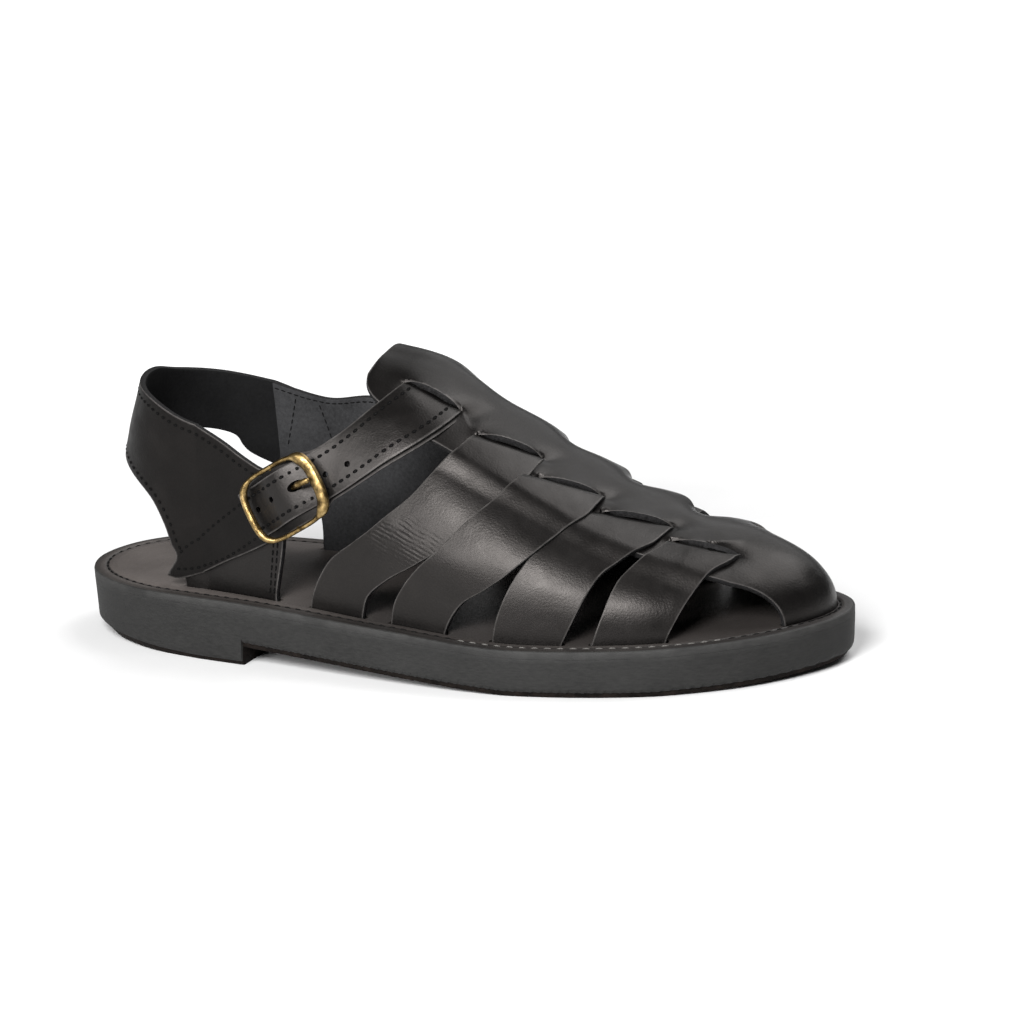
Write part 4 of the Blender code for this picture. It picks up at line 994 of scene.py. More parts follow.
# %% The strip's flat plan
strip_x = np.arange(TONGUE_END, TOE_START + 0.01, ROW_STEP)
strip_x[-1] = TOE_START
SHARE = np.linspace(-1, 1, STRIP_COLUMNS)
row_half = table(STRIP_WIDTH, strip_x)
strip_share = np.broadcast_to(SHARE, (len(strip_x), STRIP_COLUMNS)).copy()
slit_cells = []               # row, outer column, slit number, share along the slit, side
for slit_number, (rear_x, rear, front_x, front) in enumerate(SLITS):
    inside = np.flatnonzero((strip_x >= rear_x) & (strip_x <= front_x))
    distance = np.interp(strip_x[inside], (rear_x, front_x), (rear, front))
    along = (strip_x[inside] - strip_x[inside[0]]) / (strip_x[inside[-1]] - strip_x[inside[0]])
    for slit_side in (-1, 1):
        line = slit_side * distance / row_half[inside]
        column = np.rint((line + 1) / 2 * (STRIP_COLUMNS - 1)).astype(int)
        strip_share[inside, column] = line
        slit_cells.append((inside, column, slit_number, along, slit_side))
strip_y = np.stack([arc_to_y(x, share * half)
                    for x, share, half in zip(strip_x, strip_share, row_half)])
strip_plan = np.dstack([np.broadcast_to(strip_x[:, None], strip_y.shape), strip_y])
toe_angle = np.radians(STRIP_TOE_ANGLE) * SHARE
toe_goal = np.c_[TOE_CENTRE + toe_reach(toe_angle) * np.cos(toe_angle),
                 TOE_RIDGE + toe_reach(toe_angle) * np.sin(toe_angle)]
toe_steps = np.sin(np.linspace(0, 1, 44)[1:] * math.pi / 2)
toe_plan = strip_plan[-1] + (toe_goal - strip_plan[-1]) * toe_steps[:, None, None]
strip_plan = np.vstack([strip_plan, toe_plan])
strip_base = np.dstack([strip_plan, last_height(strip_plan[..., 0], strip_plan[..., 1])])
strip_rows = len(strip_base)
print("strip grid:", strip_base.shape[:2])

# %% [markdown]
# The straps below are the obstacle of the relaxation. Each one is a little domed across its
# width, so the strip touches it along the middle and hangs free between two of them.

# %% Relax the strip over the straps
STRAP_CREST = 2.75            # how far the strip is lifted over the middle of a strap
STRAP_SHOULDER = 1.55         # the same at the strap's edges
SLIT_RISE = {-1: [3.9, 3.8, 3.8, 3.8, 3.1], 1: [3.4, 4.3, 4.3, 4.5, 4.3]}
SLIT_PRESS = -0.9             # how far the margin is pressed down under a strap
SLIT_ROUND = (2.6, 0.85)      # exponents of the lens shape of an open slit
ANKLE_CREST = 3.1
ANKLE_SHOULDER = 1.9
ANKLE_MIDDLE = 144.3          # the ankle strap passes under the strip here
ANKLE_HALF_WIDTH = 10.2
TONGUE_FREE = 137             # behind this x the edges of the tongue are not held down
TOE_ROWS_HELD = 18
START_RISE = 2.2
ROUNDS = 1200


def dome(across, shoulder, crest):
    """Height over a strap: shoulder + (crest - shoulder) * sqrt(1 - across^2)."""
    return shoulder + (crest - shoulder) * np.sqrt(np.clip(1 - across ** 2, 0, 1))


x = strip_base[..., 0]
offset = strip_base[..., 1] - table(LAST, x, RIDGE)
place_value = np.sign(offset) * place_at(x, strip_base[..., 2])
reach = reach_of(x, place_value)
middle_part = reach < slit_line(x) + 0.3
obstacle = np.full(x.shape, -9.0)
for number in range(4):
    edges = strap_edges(number)
    signed = np.clip(place_value, -0.9, 0.9)
    rear, front = table(edges, signed, 1), table(edges, signed, 2)
    across = np.clip(np.abs((x - (rear + front) / 2) / ((front - rear) / 2)), 0, 2)
    height = dome(across, STRAP_SHOULDER, STRAP_CREST)
    obstacle = np.where((across < 1) & middle_part, np.maximum(obstacle, height), obstacle)
across = np.abs((x - ANKLE_MIDDLE) / ANKLE_HALF_WIDTH)
height = dome(across, ANKLE_SHOULDER, ANKLE_CREST)
obstacle = np.where((across < 1) & middle_part, np.maximum(obstacle, height), obstacle)

fixed_zero = np.zeros(x.shape, bool)
fixed_zero[x[:, 0] > TONGUE_FREE, :2] = True
fixed_zero[x[:, 0] > TONGUE_FREE, -2:] = True
fixed_zero[-TOE_ROWS_HELD:] = True
seen_middle = np.where(middle_part, START_RISE, 0.0)
seen_margin = seen_middle.copy()
slit_values = []
for inside, column, slit_number, along, slit_side in slit_cells:
    lens = (1 - np.abs(2 * along - 1) ** SLIT_ROUND[0]) ** SLIT_ROUND[1]
    slit_values.append((inside[1:-1], column[1:-1],
                        SLIT_RISE[slit_side][slit_number] * lens[1:-1], SLIT_PRESS * lens[1:-1]))


def shifted_mean(field):
    """Mean of the four neighbours of every grid point; a border point repeats itself."""
    wide = np.pad(field, 1, mode="edge")
    return (wide[:-2, 1:-1] + wide[2:, 1:-1] + wide[1:-1, :-2] + wide[1:-1, 2:]) / 4


for _ in range(ROUNDS):
    value = np.where(middle_part, shifted_mean(seen_middle), shifted_mean(seen_margin))
    value = np.where(fixed_zero, 0.0, np.maximum(value, obstacle))
    seen_middle, seen_margin = value.copy(), value.copy()
    for inside, column, high, low in slit_values:
        seen_middle[inside, column] = high
        seen_margin[inside, column] = low
print("rise of the strip:", seen_middle.min().round(2), "to", seen_middle.max().round(2))

# %% [markdown]
# Relaxed leather is too even. Between two straps the real strip is pulled down by its slits, so
# soft troughs are placed one by one: each is a line from x and distance from the ridge to another
# such point, with a half width and a depth. It starts deep at the slit and widens and fades
# towards the other end. The end of the tongue stands up on the inner side.

# %% Troughs placed one by one
# Start x, start distance (inner side positive), end x, end distance, half width, depth
TROUGHS = [
    (157.5, -17, 162, -2, 2.5, 0.7), (184, -14, 188, -2, 2.5, 0.7), (207, -14, 211, -2, 2.5, 0.7),
    (231.5, -11.5, 235, -2, 2.5, 0.6),
    (157, 26, 159, -4, 5.2, 3.4), (183, 24, 184, -4, 3.4, 2.4), (206, 24, 207, -4, 3.4, 2.6),
    (230.5, 22, 232, -4, 3.4, 2.2), (139, -30, 141, -22, 3.0, 0.4),
]


def trough_depth(x, distance):
    """Depth of all troughs at points of the strip: a bell across each line."""
    total = np.zeros(np.shape(x))
    for x0, d0, x1, d1, half_width, depth in TROUGHS:
        along = ((x - x0) * (x1 - x0) + (distance - d0) * (d1 - d0)) / ((x1 - x0) ** 2 + (d1 - d0) ** 2)
        along = np.clip(along, 0, 1)
        away = np.hypot(x - x0 - along * (x1 - x0), distance - d0 - along * (d1 - d0))
        bell = np.exp(-(away / (half_width * (1 + along))) ** 2)
        total = np.maximum(total, depth * (1 - smooth(along)) * bell)
    return total


signed_reach = np.sign(offset) * reach
tongue_lift = 4.0 * smooth((150 - x) / 25) * smooth((signed_reach + 5) / 20)
tongue_lift = tongue_lift + 3.2 * np.exp(-((x - 139) / 9) ** 2) * smooth((signed_reach - 4) / 14)
pressed = np.where(middle_part, trough_depth(x, signed_reach), 0)
seen_middle = np.maximum(seen_middle - pressed, np.minimum(seen_middle, 0.6)) + tongue_lift
seen_margin = seen_margin + tongue_lift
print("deepest trough, millimetres:", pressed.max().round(2))

# %% [markdown]
# To open the slits, the faces on the margin side of a slit get their own copies of its
# points. Where a slit line steps from one grid column to the next, the quad between is split
# along the line, so that no face bridges the slit.


# %% Centre strip
def strip_faces():
    """Triangles of the grid; each quad is split along the slit line that crosses it."""
    columns = STRIP_COLUMNS
    quads = grid_faces(strip_rows, columns)
    falling = np.zeros((strip_rows - 1, columns - 1), bool)
    for inside, column, _, _, _ in slit_cells:
        for step in (-1, 1):
            moved = np.flatnonzero(np.diff(column) == step)
            first = column[moved] if step > 0 else column[moved] - 1
            falling[inside[moved], first] = step > 0
    falling = falling.ravel()
    a, b, c, d = quads.T
    one = np.where(falling[:, None], np.stack([a, b, c], 1), np.stack([a, b, d], 1))
    two = np.where(falling[:, None], np.stack([a, c, d], 1), np.stack([b, c, d], 1))
    return np.vstack([one, two])


def centre_strip():
    """The strip with opened slits; its points are the middle's, then the margin's copies."""
    faces = strip_faces()
    count = strip_rows * STRIP_COLUMNS
    rise = seen_middle.ravel().copy()
    low_rise = seen_margin.ravel().copy()
    copy_of = np.arange(count)
    extra = []
    for inside, column, _, _ in slit_values:
        index = inside * STRIP_COLUMNS + column
        copy_of[index] = count + len(extra) + np.arange(len(index))
        extra += index.tolist()
    column_of = faces % STRIP_COLUMNS
    row_of = faces // STRIP_COLUMNS
    slit_column = np.full((2, strip_rows), -1)
    for inside, column, _, _, slit_side in slit_cells:
        slit_column[(slit_side + 1) // 2, inside] = column
    centre_column = (STRIP_COLUMNS - 1) / 2
    side = (column_of.mean(axis=1) > centre_column).astype(int)
    line = slit_column[side[:, None], row_of]
    beyond = np.where(line < 0, 0, (column_of - line) * np.where(side == 1, 1, -1)[:, None])
    on_margin = beyond.sum(axis=1) > 0
    faces = np.where(on_margin[:, None], copy_of[faces], faces)
    base = strip_base.reshape(-1, 3)
    normals = last_normals(base)
    extra = np.array(extra)
    points = np.vstack([base + normals * (LEATHER + rise)[:, None],
                        base[extra] + normals[extra] * (LEATHER + low_rise[extra])[:, None]])
    seat = points[(strip_rows - 1) * STRIP_COLUMNS:count]
    down = [seat - (0, 0, depth) for depth in (0.8, 1.6, SEAT)]
    start = len(points)
    points = np.vstack([points] + down)
    first = np.r_[np.arange(count - STRIP_COLUMNS, count), start + np.arange(3 * STRIP_COLUMNS)]
    seat_quads = first[grid_faces(4, STRIP_COLUMNS)]
    share = np.abs(strip_share)
    to_side = (1 - np.vstack([share, np.repeat(np.abs(SHARE)[None], strip_rows - len(share), 0)]))
    half = np.r_[row_half, np.linspace(*TOE_HALF_WIDTHS, strip_rows - len(row_half))]
    edge = to_side * half[:, None]
    for inside, column, _, _ in slit_values:
        for near in range(-2, 3):
            edge[inside, column + near] = np.minimum(edge[inside, column + near], abs(near) * 0.7)
    edge = np.minimum(edge, (x - TONGUE_END) / 1.0).ravel()
    edge = np.r_[edge, edge[extra], np.full(3 * STRIP_COLUMNS, 3.0)]
    outs = np.vstack([normals, normals[extra], np.repeat(normals[-STRIP_COLUMNS:], 3, 0)])
    faces = faces_away(points, faces, outs).tolist()
    faces += faces_away(points, seat_quads, outs).tolist()
    return as_leather(new_piece("centre_strip", points, faces, LEATHER_FACES, attributes={"edge": edge}))


strip_piece = centre_strip()
keep(strip_piece, ["upper"])

# %% [markdown]
# ## Cross straps
# Four straps cross the foot. Each is one strip of leather from insole to insole: up the
# side, over the margin of the centre strip, down through the slit and under its middle. The
# grid runs along the strap, and a height rule lifts it over the margin. The second strap
# laps over its two neighbours on the outer side, and the rear one is wrinkled where it bends.

# %% Measurements of the cross straps
STRAP_ROWS = 260
STRAP_COLUMNS = 44
OVER_MARGIN = 2.0             # height of a strap over the last where it lies on the margin
LAP = [0.0, 1.2, 0.0, 0.0]    # extra height on the outer side, where a strap laps over others
WRINKLES = [1.0, 0.0, 0.0, 0.0]      # how wrinkled each strap is
WRINKLE_PLACE = -0.745        # place of the wrinkles' middle, on the outer side
WRINKLE_REACH = 0.07
SEAT_DEPTHS = np.array([SEAT, 1.4, 0.7])      # rows of each end down into the insole
SEAT_ROWS = len(SEAT_DEPTHS)
SLIT_RAMP = 6.0               # a strap rises over this length once it has left its slit
EDGE_RAMP = 10.0              # and sinks again over this length beyond the strip's edge
STRAP_DOME = 0.25             # a strap is this much higher in its middle than at its edges
STRAP_RIPPLE = 0.16
print("cross straps:", len(OUTER_STRAPS), "of", STRAP_ROWS, "by", STRAP_COLUMNS, "points")


# %% Cross straps
def ripple(points, size, depth):
    """Gentle unevenness: a sum of three sine waves in different directions."""
    x, y, z = points[..., 0], points[..., 1], points[..., 2]
    wave = np.sin((x * 0.9 + z * 0.5) / size + 1.3) + np.sin((y * 0.8 - z * 0.7) / size * 1.37 + 4.1)
    wave += np.sin((x * 0.4 + y * 0.6 + z) / size * 0.73 + 2.2)
    return depth * wave / 3


def with_seats(field):
    """The field with its end rows repeated, for the rows that go down into the insole."""
    return np.concatenate([np.repeat(field[:1], SEAT_ROWS, 0), field, np.repeat(field[-1:], SEAT_ROWS, 0)])


def cross_strap(number):
    """Outer face of one strap: last + normal * (thickness + height over what lies below)."""
    edges = strap_edges(number)
    places = np.linspace(-1, 1, STRAP_ROWS)
    rear = table(edges, places, 1)
    front = table(edges, places, 2)
    across = np.linspace(0, 1, STRAP_COLUMNS)
    x = rear[:, None] + (front - rear)[:, None] * across
    grid = on_last(x, places[:, None] + 0 * x)
    reach = reach_of(x, places[:, None] + 0 * x)
    half = table(STRIP_WIDTH, x)
    rear_x, rear_slit, front_x, front_slit = SLITS[number + 1]
    own_slit = rear_slit + (x - rear_x) * (front_slit - rear_slit) / (front_x - rear_x)
    through = smooth((reach - own_slit + 2.5) / SLIT_RAMP)
    past_strip = 1 - smooth((reach - half + 0.5) / EDGE_RAMP)
    height = OVER_MARGIN * through * past_strip
    near_sole = smooth((np.abs(places) - 0.72) / 0.2)[:, None]
    on_outer = (places < 0)[:, None]
    height = height + LAP[number] * through * (1 - near_sole) * on_outer
    crown = STRAP_DOME * (1 - (2 * across - 1) ** 2)[None, :] * (1 - near_sole)
    height = height + crown + ripple(grid, 9, STRAP_RIPPLE) * (1 - near_sole)
    normals = last_normals(grid)
    points = with_seats(grid + normals * (LEATHER + height)[..., None])
    points[:SEAT_ROWS, :, 2] -= SEAT_DEPTHS[:, None]
    points[-SEAT_ROWS:, :, 2] -= SEAT_DEPTHS[::-1, None]
    width = with_seats((front - rear)[:, None] * np.minimum(across, 1 - across))
    bend = np.exp(-((places - WRINKLE_PLACE) / WRINKLE_REACH) ** 2)[:, None]
    crease = np.pad(WRINKLES[number] * bend * smooth(across / 0.15), ((SEAT_ROWS, SEAT_ROWS), (0, 0)))
    steps = np.linalg.norm(np.diff(grid, axis=0), axis=2)
    along = with_seats(np.vstack([0 * across, np.cumsum(steps, axis=0)]) + 5 * across)
    faces = grid_faces(*points.shape[:2])
    points = points.reshape(-1, 3)
    faces = faces_away(points, faces, with_seats(normals).reshape(-1, 3))
    attributes = {"edge": width, "crease": crease, "along": along}
    return as_leather(new_piece(f"cross_strap_{number + 1}", points, faces, LEATHER_FACES,
                                attributes=attributes))


for strap_number in range(4):
    keep(cross_strap(strap_number), ["upper"])

# %% [markdown]
# ## Heel band, side tab and inner quarter
# These are flat-cut pieces of leather bent round the heel. Their outlines are drawn in a
# side view and laid on the wall of the last. A filled outline keeps its cut edges clean, so
# the outline's own points and a honeycomb of points inside it are joined into triangles.


# %% Filled outlines on the wall
def outline_curve(points, corners, spacing=0.8):
    """Smooth closed outline with sharp corners kept; evenly spaced points."""
    points = np.asarray(points, float)
    count = len(points)
    parts = []
    for start, end in zip(corners, corners[1:] + [corners[0] + count]):
        run = points[np.arange(start, end + 1) % count]
        if len(run) > 2:
            steered = np.vstack([2 * run[0] - run[1], run, 2 * run[-1] - run[-2]])
            run = np.vstack([round_curve(steered, 16), run[-1:]])
        length = run_length(run)
        wanted = np.linspace(0, length[-1], max(2, int(length[-1] / spacing)), endpoint=False)
        parts.append(at_length(run, length, wanted))
    return np.vstack(parts)


def to_outline(points, outline):
    """Distance of each point from a closed outline, and whether it lies inside."""
    a, b = outline[None], np.roll(outline, -1, axis=0)[None]
    p = points[:, None]
    ab = b - a
    t = np.clip(((p - a) * ab).sum(-1) / (ab ** 2).sum(-1), 0, 1)
    distance = np.linalg.norm(p - a - ab * t[..., None], axis=-1).min(axis=1)
    crosses = (a[..., 1] > p[..., 1]) != (b[..., 1] > p[..., 1])
    rise = np.where(crosses, ab[..., 1], 1)
    at = a[..., 0] + (p[..., 1] - a[..., 1]) / rise * ab[..., 0]
    inside = (crosses & (p[..., 0] < at)).sum(axis=1) % 2 == 1
    return distance, inside


def filled(outline, spacing=1.1):
    """Points and triangles of an outline filled with a honeycomb; distance to the edge."""
    low, high = outline.min(axis=0), outline.max(axis=0)
    rows = np.arange(low[1], high[1], spacing * 0.866)
    u, v = np.meshgrid(np.arange(low[0], high[0], spacing), rows)
    u = u + (np.arange(len(rows)) % 2)[:, None] * spacing / 2
    inner = np.c_[u.ravel(), v.ravel()]
    distance, inside = to_outline(inner, outline)
    usable = inside & (distance > spacing * 0.55)
    flat = np.vstack([outline, inner[usable]])
    index = np.arange(len(outline))
    edges = np.stack([index, np.roll(index, -1)], axis=1).tolist()
    vertices, _, faces, _, _, _ = delaunay_2d_cdt([Vector(point) for point in flat.tolist()],
                                                  edges, [], 1, 1e-6)
    flat = np.array([vertex[:] for vertex in vertices])
    triangles = np.array([face for face in faces if len(face) == 3])
    distance, inside = to_outline(flat[triangles].mean(axis=1), outline)
    triangles = triangles[inside]
    edge, _ = to_outline(flat, outline)
    return flat, triangles, edge


def turn_of(x, z):
    """Turn (positive) of the heel wall at a length x and height z in the side view."""
    x, z = np.asarray(x, float), np.asarray(z, float)
    depth = HEEL_CENTRE - table(HEEL_BACK, z)
    near = np.clip((HEEL_CENTRE - x) / depth, 0, 1) ** (HEEL_ROUND / 2)
    return np.where(x < HEEL_CENTRE, np.arccos(near) * 2 / math.pi, 1 + (x - HEEL_CENTRE) / TURN_LENGTH)


def unrolled(points, side):
    """Side-view points (x, z) on the wall laid flat: side * TURN_LENGTH * turn, and z."""
    return [(side * TURN_LENGTH * float(turn_of(x, z)), z) for x, z in points]


def cup_points(flat, height):
    """Points of the wall moved out by height; flat holds points of the wall laid flat."""
    turn, z = flat[:, 0] / TURN_LENGTH, flat[:, 1]
    points = heel_cup(turn, z)
    along = heel_cup(turn + 0.01, z) - heel_cup(turn - 0.01, z)
    upwards = heel_cup(turn, z + 0.4) - heel_cup(turn, z - 0.4)
    normal = unit(np.cross(along, upwards))
    centre = np.stack([points[:, 0].clip(60, None), 0 * z + HEEL_MIDDLE, z], axis=1)
    normal *= np.sign(((points - centre) * normal).sum(axis=1))[:, None]
    return points + normal * np.asarray(height)[..., None], normal


def wall_piece(name, outline, height, nodes, finishes):
    """A leather piece on the heel wall from its outline on the wall laid flat."""
    flat, triangles, edge = filled(outline)
    points, normals = cup_points(flat, height(flat, edge))
    triangles = faces_away(points, triangles, normals)
    piece = new_piece(name, points, triangles, finishes, attributes={"edge": edge})
    keep(as_leather(piece), nodes)


# %% Heel band
# Side view of the band on the outer side, from the back over the low corner to the buckle
BAND_OUTER = [
    (27, 66.8), (32.4, 63.5), (41.4, 56.3), (46.7, 47.3), (49.3, 39.8), (51.2, 35.5),
    (46.4, 27.6), (51.6, 27.2), (60.7, 30), (72.8, 35.6), (84.2, 40.7), (94.3, 45.8),
    (102.2, 50.7), (112.3, 57.4), (105.6, 70.2), (92, 70.6), (83.5, 74), (73.6, 79.2),
    (58.2, 85.2), (44.2, 91), (35.2, 94.4),
]
BAND_INNER = [
    (34.6, 92.6), (47.2, 89), (63, 85.6), (73, 82.2), (73, 49.5), (63.3, 53),
    (50.6, 58.6), (48.2, 61.3), (46, 65), (34, 68.6),
]
BACK_LOW = 67.4
BACK_TOP = 95.7
BAND_FACE = LEATHER + 0.3 + LEATHER   # the band lies over tab and quarter, with a small gap


def band_outline():
    """Closed outline of the band: outer side, over the back at the top, inner side, back below."""
    outer, inner = unrolled(BAND_OUTER, -1), unrolled(BAND_INNER, 1)
    points = [(0, BACK_LOW)] + outer + [(0, BACK_TOP)] + inner
    corners = [points.index(spot) for spot in (outer[6], outer[13], outer[14], inner[3], inner[4])]
    return outline_curve(points, corners)


BAND = band_outline()


def band_height(flat, edge):
    """The band lies over tab and quarter, with a slight roll outwards at its top edge."""
    ease = ripple(np.c_[flat, 0 * edge], 11, 0.2)
    return BAND_FACE + ease * smooth(edge / 5)


wall_piece("heel_band_leather", BAND, band_height, ["heel_band"], DULL_FACES)

# %% Side tab and inner quarter
TAB_OUTER = [
    (52.3, 21.3), (52.3, 30), (54, 45), (57, 60), (90, 60), (97, 50), (92.8, 25), (92.8, 20.8),
]
QUARTER_INNER = [
    (78.4, 20.9), (78.6, 34), (76.5, 44), (63.5, 53), (63.3, 86.4), (80, 82), (87.3, 81.2),
    (103, 83), (112, 81), (122, 75), (135, 70), (147, 64), (131.5, 24), (131.5, 18.8),
]


def flat_height(flat, edge):
    """A piece that lies straight on the last."""
    return LEATHER + 0 * edge


tab_outline = outline_curve(unrolled(TAB_OUTER, -1), [0, 3, 4, 7])
wall_piece("side_tab_leather", tab_outline, flat_height, ["side_tab"], LEATHER_FACES)
quarter_outline = outline_curve(unrolled(QUARTER_INNER, 1), [0, 3, 4, 11, 13])
wall_piece("inner_quarter_leather", quarter_outline, flat_height, ["inner_quarter"], QUARTER_FACES)

# %% [markdown]
# ## Ankle strap
# The strap comes from the inner side, runs over the instep under the tongue and ends in the
# buckle. It is a double layer, stitched along both edges and punched with a row of holes. The
# lining is a little wider than the top layer, so that it shows as a thin step at the edges.
# Rows of a few measured points are turned into a fine grid by smooth curves along the strap.

# %% Measurements of the ankle strap and buckle
BUCKLE_X, BUCKLE_Z = 102.0, 62.4
BUCKLE_ANGLE = 30.0           # degrees above the floor
STRAP_EDGES = (9.2, -8.4)     # upper and lower edge of the strap
# Along the strap from the buckle's middle, height of the strap's inner face over the last
STRAP_IN_BUCKLE = [
    (-17.5, 5.3), (-14, 5.3), (-10, 5.4), (-6, 6.3), (-3, 7.2), (0, 7.5), (3, 7.2),
    (6, 6.1), (10, 4.2), (14, 2.9), (18, 2.6),
]
# Rear edge x and place, front edge x and place, height over the last, up to the ridge
STRAP_TO_SLIT = [
    (116.4, 0.537, 127, 0.65, 2.6), (122.3, 0.455, 135, 0.573, 2.6),
    (127.9, 0.363, 142, 0.492, 2.6),
    (131.2, 0.3, 148, 0.4, 2.6), (133.4, 0.245, 151.8, 0.315, 2.5),
    (134.2, 0.21, 154, 0.225, 2.0), (134.4, 0.185, 154.4, 0.185, 1.3),
    (134.4, 0.145, 154.5, 0.145, 0.5), (134.4, 0.1, 154.5, 0.1, 0.3),
    (134.4, 0.03, 154.5, 0.03, 0.3),
]
STRAP_INNER_END = [(105, 0.68, 114, 0.8, 2.6), (88, 0.76, 97, 0.87, 2.6)]
# Holes as distances along and across the strap from the buckle's middle
HOLES = [(-12.6, 0.9), (-4.5, 1.4), (16.9, 0.2), (25.6, -0.2)]
HOLE_RADIUS = 1.1
PRONG_HOLE = (6.8, 1.3)
PRONG_HOLE_SIZE = (3.2, 1.8)
PRONG_SLANT = 0.1             # the prong leans this share of its length towards the floor


def along_strap(distance, across):
    """Side view x and z of a point by its place along and across the strap in the buckle."""
    angle = math.radians(BUCKLE_ANGLE)
    x = BUCKLE_X + distance * math.cos(angle) - across * math.sin(angle)
    z = BUCKLE_Z + distance * math.sin(angle) + across * math.cos(angle)
    return x, z


def buckle_axes():
    """Origin and directions of the buckle: along the strap, across it and outwards."""
    def spot(distance, across):
        """Point of the wall at a place along and across the strap."""
        x, z = along_strap(distance, across)
        return wall(x, z, -1)
    along = unit(spot(8, 0) - spot(-8, 0))
    out = unit(np.cross(along, spot(0, 8) - spot(0, -8)))
    out *= -np.sign(out[1])
    across = unit(np.cross(out, along))
    return spot(0, 0), along, across * np.sign(across[2]), out


BUCKLE_ORIGIN, ALONG_AXIS, ACROSS_AXIS, OUT_AXIS = buckle_axes()


def in_buckle(distance, across, height):
    """Point from distances along and across the strap and out from the last."""
    distance, across, height = np.broadcast_arrays(distance, across, height)
    return (BUCKLE_ORIGIN + distance[..., None] * ALONG_AXIS + across[..., None] * ACROSS_AXIS
            + height[..., None] * OUT_AXIS)


print("buckle middle, millimetres:", BUCKLE_ORIGIN.round(1))


# %% Grid of the ankle strap
STRAP_COLUMNS_WIDE = 30


def strap_control(upper, lower):
    """Measured rows of the strap: x and place across each row, and a height.

    The rows beyond the buckle are widened by upper and lower, those in it four times as much.
    """
    whole = STRAP_EDGES[0] - STRAP_EDGES[1]
    even = np.linspace(0, 1, 5)
    x_rows, place_rows, heights = [], [], []
    for distance, height in STRAP_IN_BUCKLE:
        grow = 1 + 3 * float(smooth((15 - abs(distance)) / 5))
        share = -upper * grow / whole + (1 + (upper + lower) * grow / whole) * even
        rear_x, rear_z = along_strap(distance, STRAP_EDGES[0])
        front_x, front_z = along_strap(distance, STRAP_EDGES[1])
        x = rear_x + (front_x - rear_x) * share
        z = rear_z + (front_z - rear_z) * share
        x_rows.append(x)
        place_rows.append(-place_at(x, z))
        heights.append(height)
    shoulder = [(*row, -1) for row in STRAP_TO_SLIT]
    mirrored = [(*row, 1) for row in STRAP_TO_SLIT[::-1]] + [(*row, 1) for row in STRAP_INNER_END]
    share = -upper / whole + (1 + (upper + lower) / whole) * even
    for rear_x, rear, front_x, front, height, side in shoulder + mirrored:
        x_rows.append(rear_x + (front_x - rear_x) * share)
        place_rows.append(side * (rear + (front - rear) * share))
        heights.append(height)
    return np.array(x_rows), np.array(place_rows), np.array(heights)


def spread(wanted):
    """Weights of the polynomial through five even columns at the wanted shares (Lagrange)."""
    share = np.linspace(0, 1, 5)
    weights = np.ones((len(wanted), len(share)))
    for j, own in enumerate(share):
        for other in np.delete(share, j):
            weights[:, j] *= (wanted - other) / (own - other)
    return weights


def strap_grid(upper=0.0, lower=0.0, spacing=0.7):
    """Fine grid of the strap's foot on the last, its height and the distance along it."""
    x, places, heights = strap_control(upper, lower)
    length = run_length(on_last(x[:, 2], places[:, 2]))
    wanted = np.arange(0, length[-1], spacing)
    weights = spread(np.linspace(0, 1, STRAP_COLUMNS_WIDE)).T
    grid = on_last(smooth_at(x, length, wanted) @ weights, smooth_at(places, length, wanted) @ weights)
    return grid, table(np.c_[length, heights], wanted), wanted


ankle_grid, ankle_height, _ = strap_grid()
ankle_normals = last_normals(ankle_grid)
print("ankle strap, points along and across:", ankle_grid.shape[:2])


# %% Layers of the ankle strap
TOP_LAYER = 1.3               # the strap is a top layer on a lining that stands out a little


def ankle_crown(share):
    """Height over the middle: minus STRAP_DOME times the fourth power of the way to the edge."""
    return -STRAP_DOME * (2 * share - 1) ** 4


def pin(distance, across, half_length, half_width, sides=20):
    """A round or oval pin through the strap, to punch a hole."""
    angle = np.linspace(0, 2 * math.pi, sides, endpoint=False)
    u = distance + half_length * np.cos(angle)
    v = across + half_width * np.sin(angle)
    points = np.vstack([in_buckle(u, v, 0 * u), in_buckle(u, v, 0 * u + 15)])
    index = np.arange(sides)
    after = np.roll(index, -1)
    faces = [index.tolist(), (index + sides)[::-1].tolist()]
    faces += np.stack([index + sides, after + sides, after, index], axis=1).tolist()
    return points, faces


def turned_out(piece):
    """Turn the faces of a closed mesh outwards."""
    work = bmesh.new()
    work.from_mesh(piece.data)
    bmesh.ops.recalc_face_normals(work, faces=work.faces)
    work.to_mesh(piece.data)
    work.free()
    piece.data.shade_smooth()
    return piece


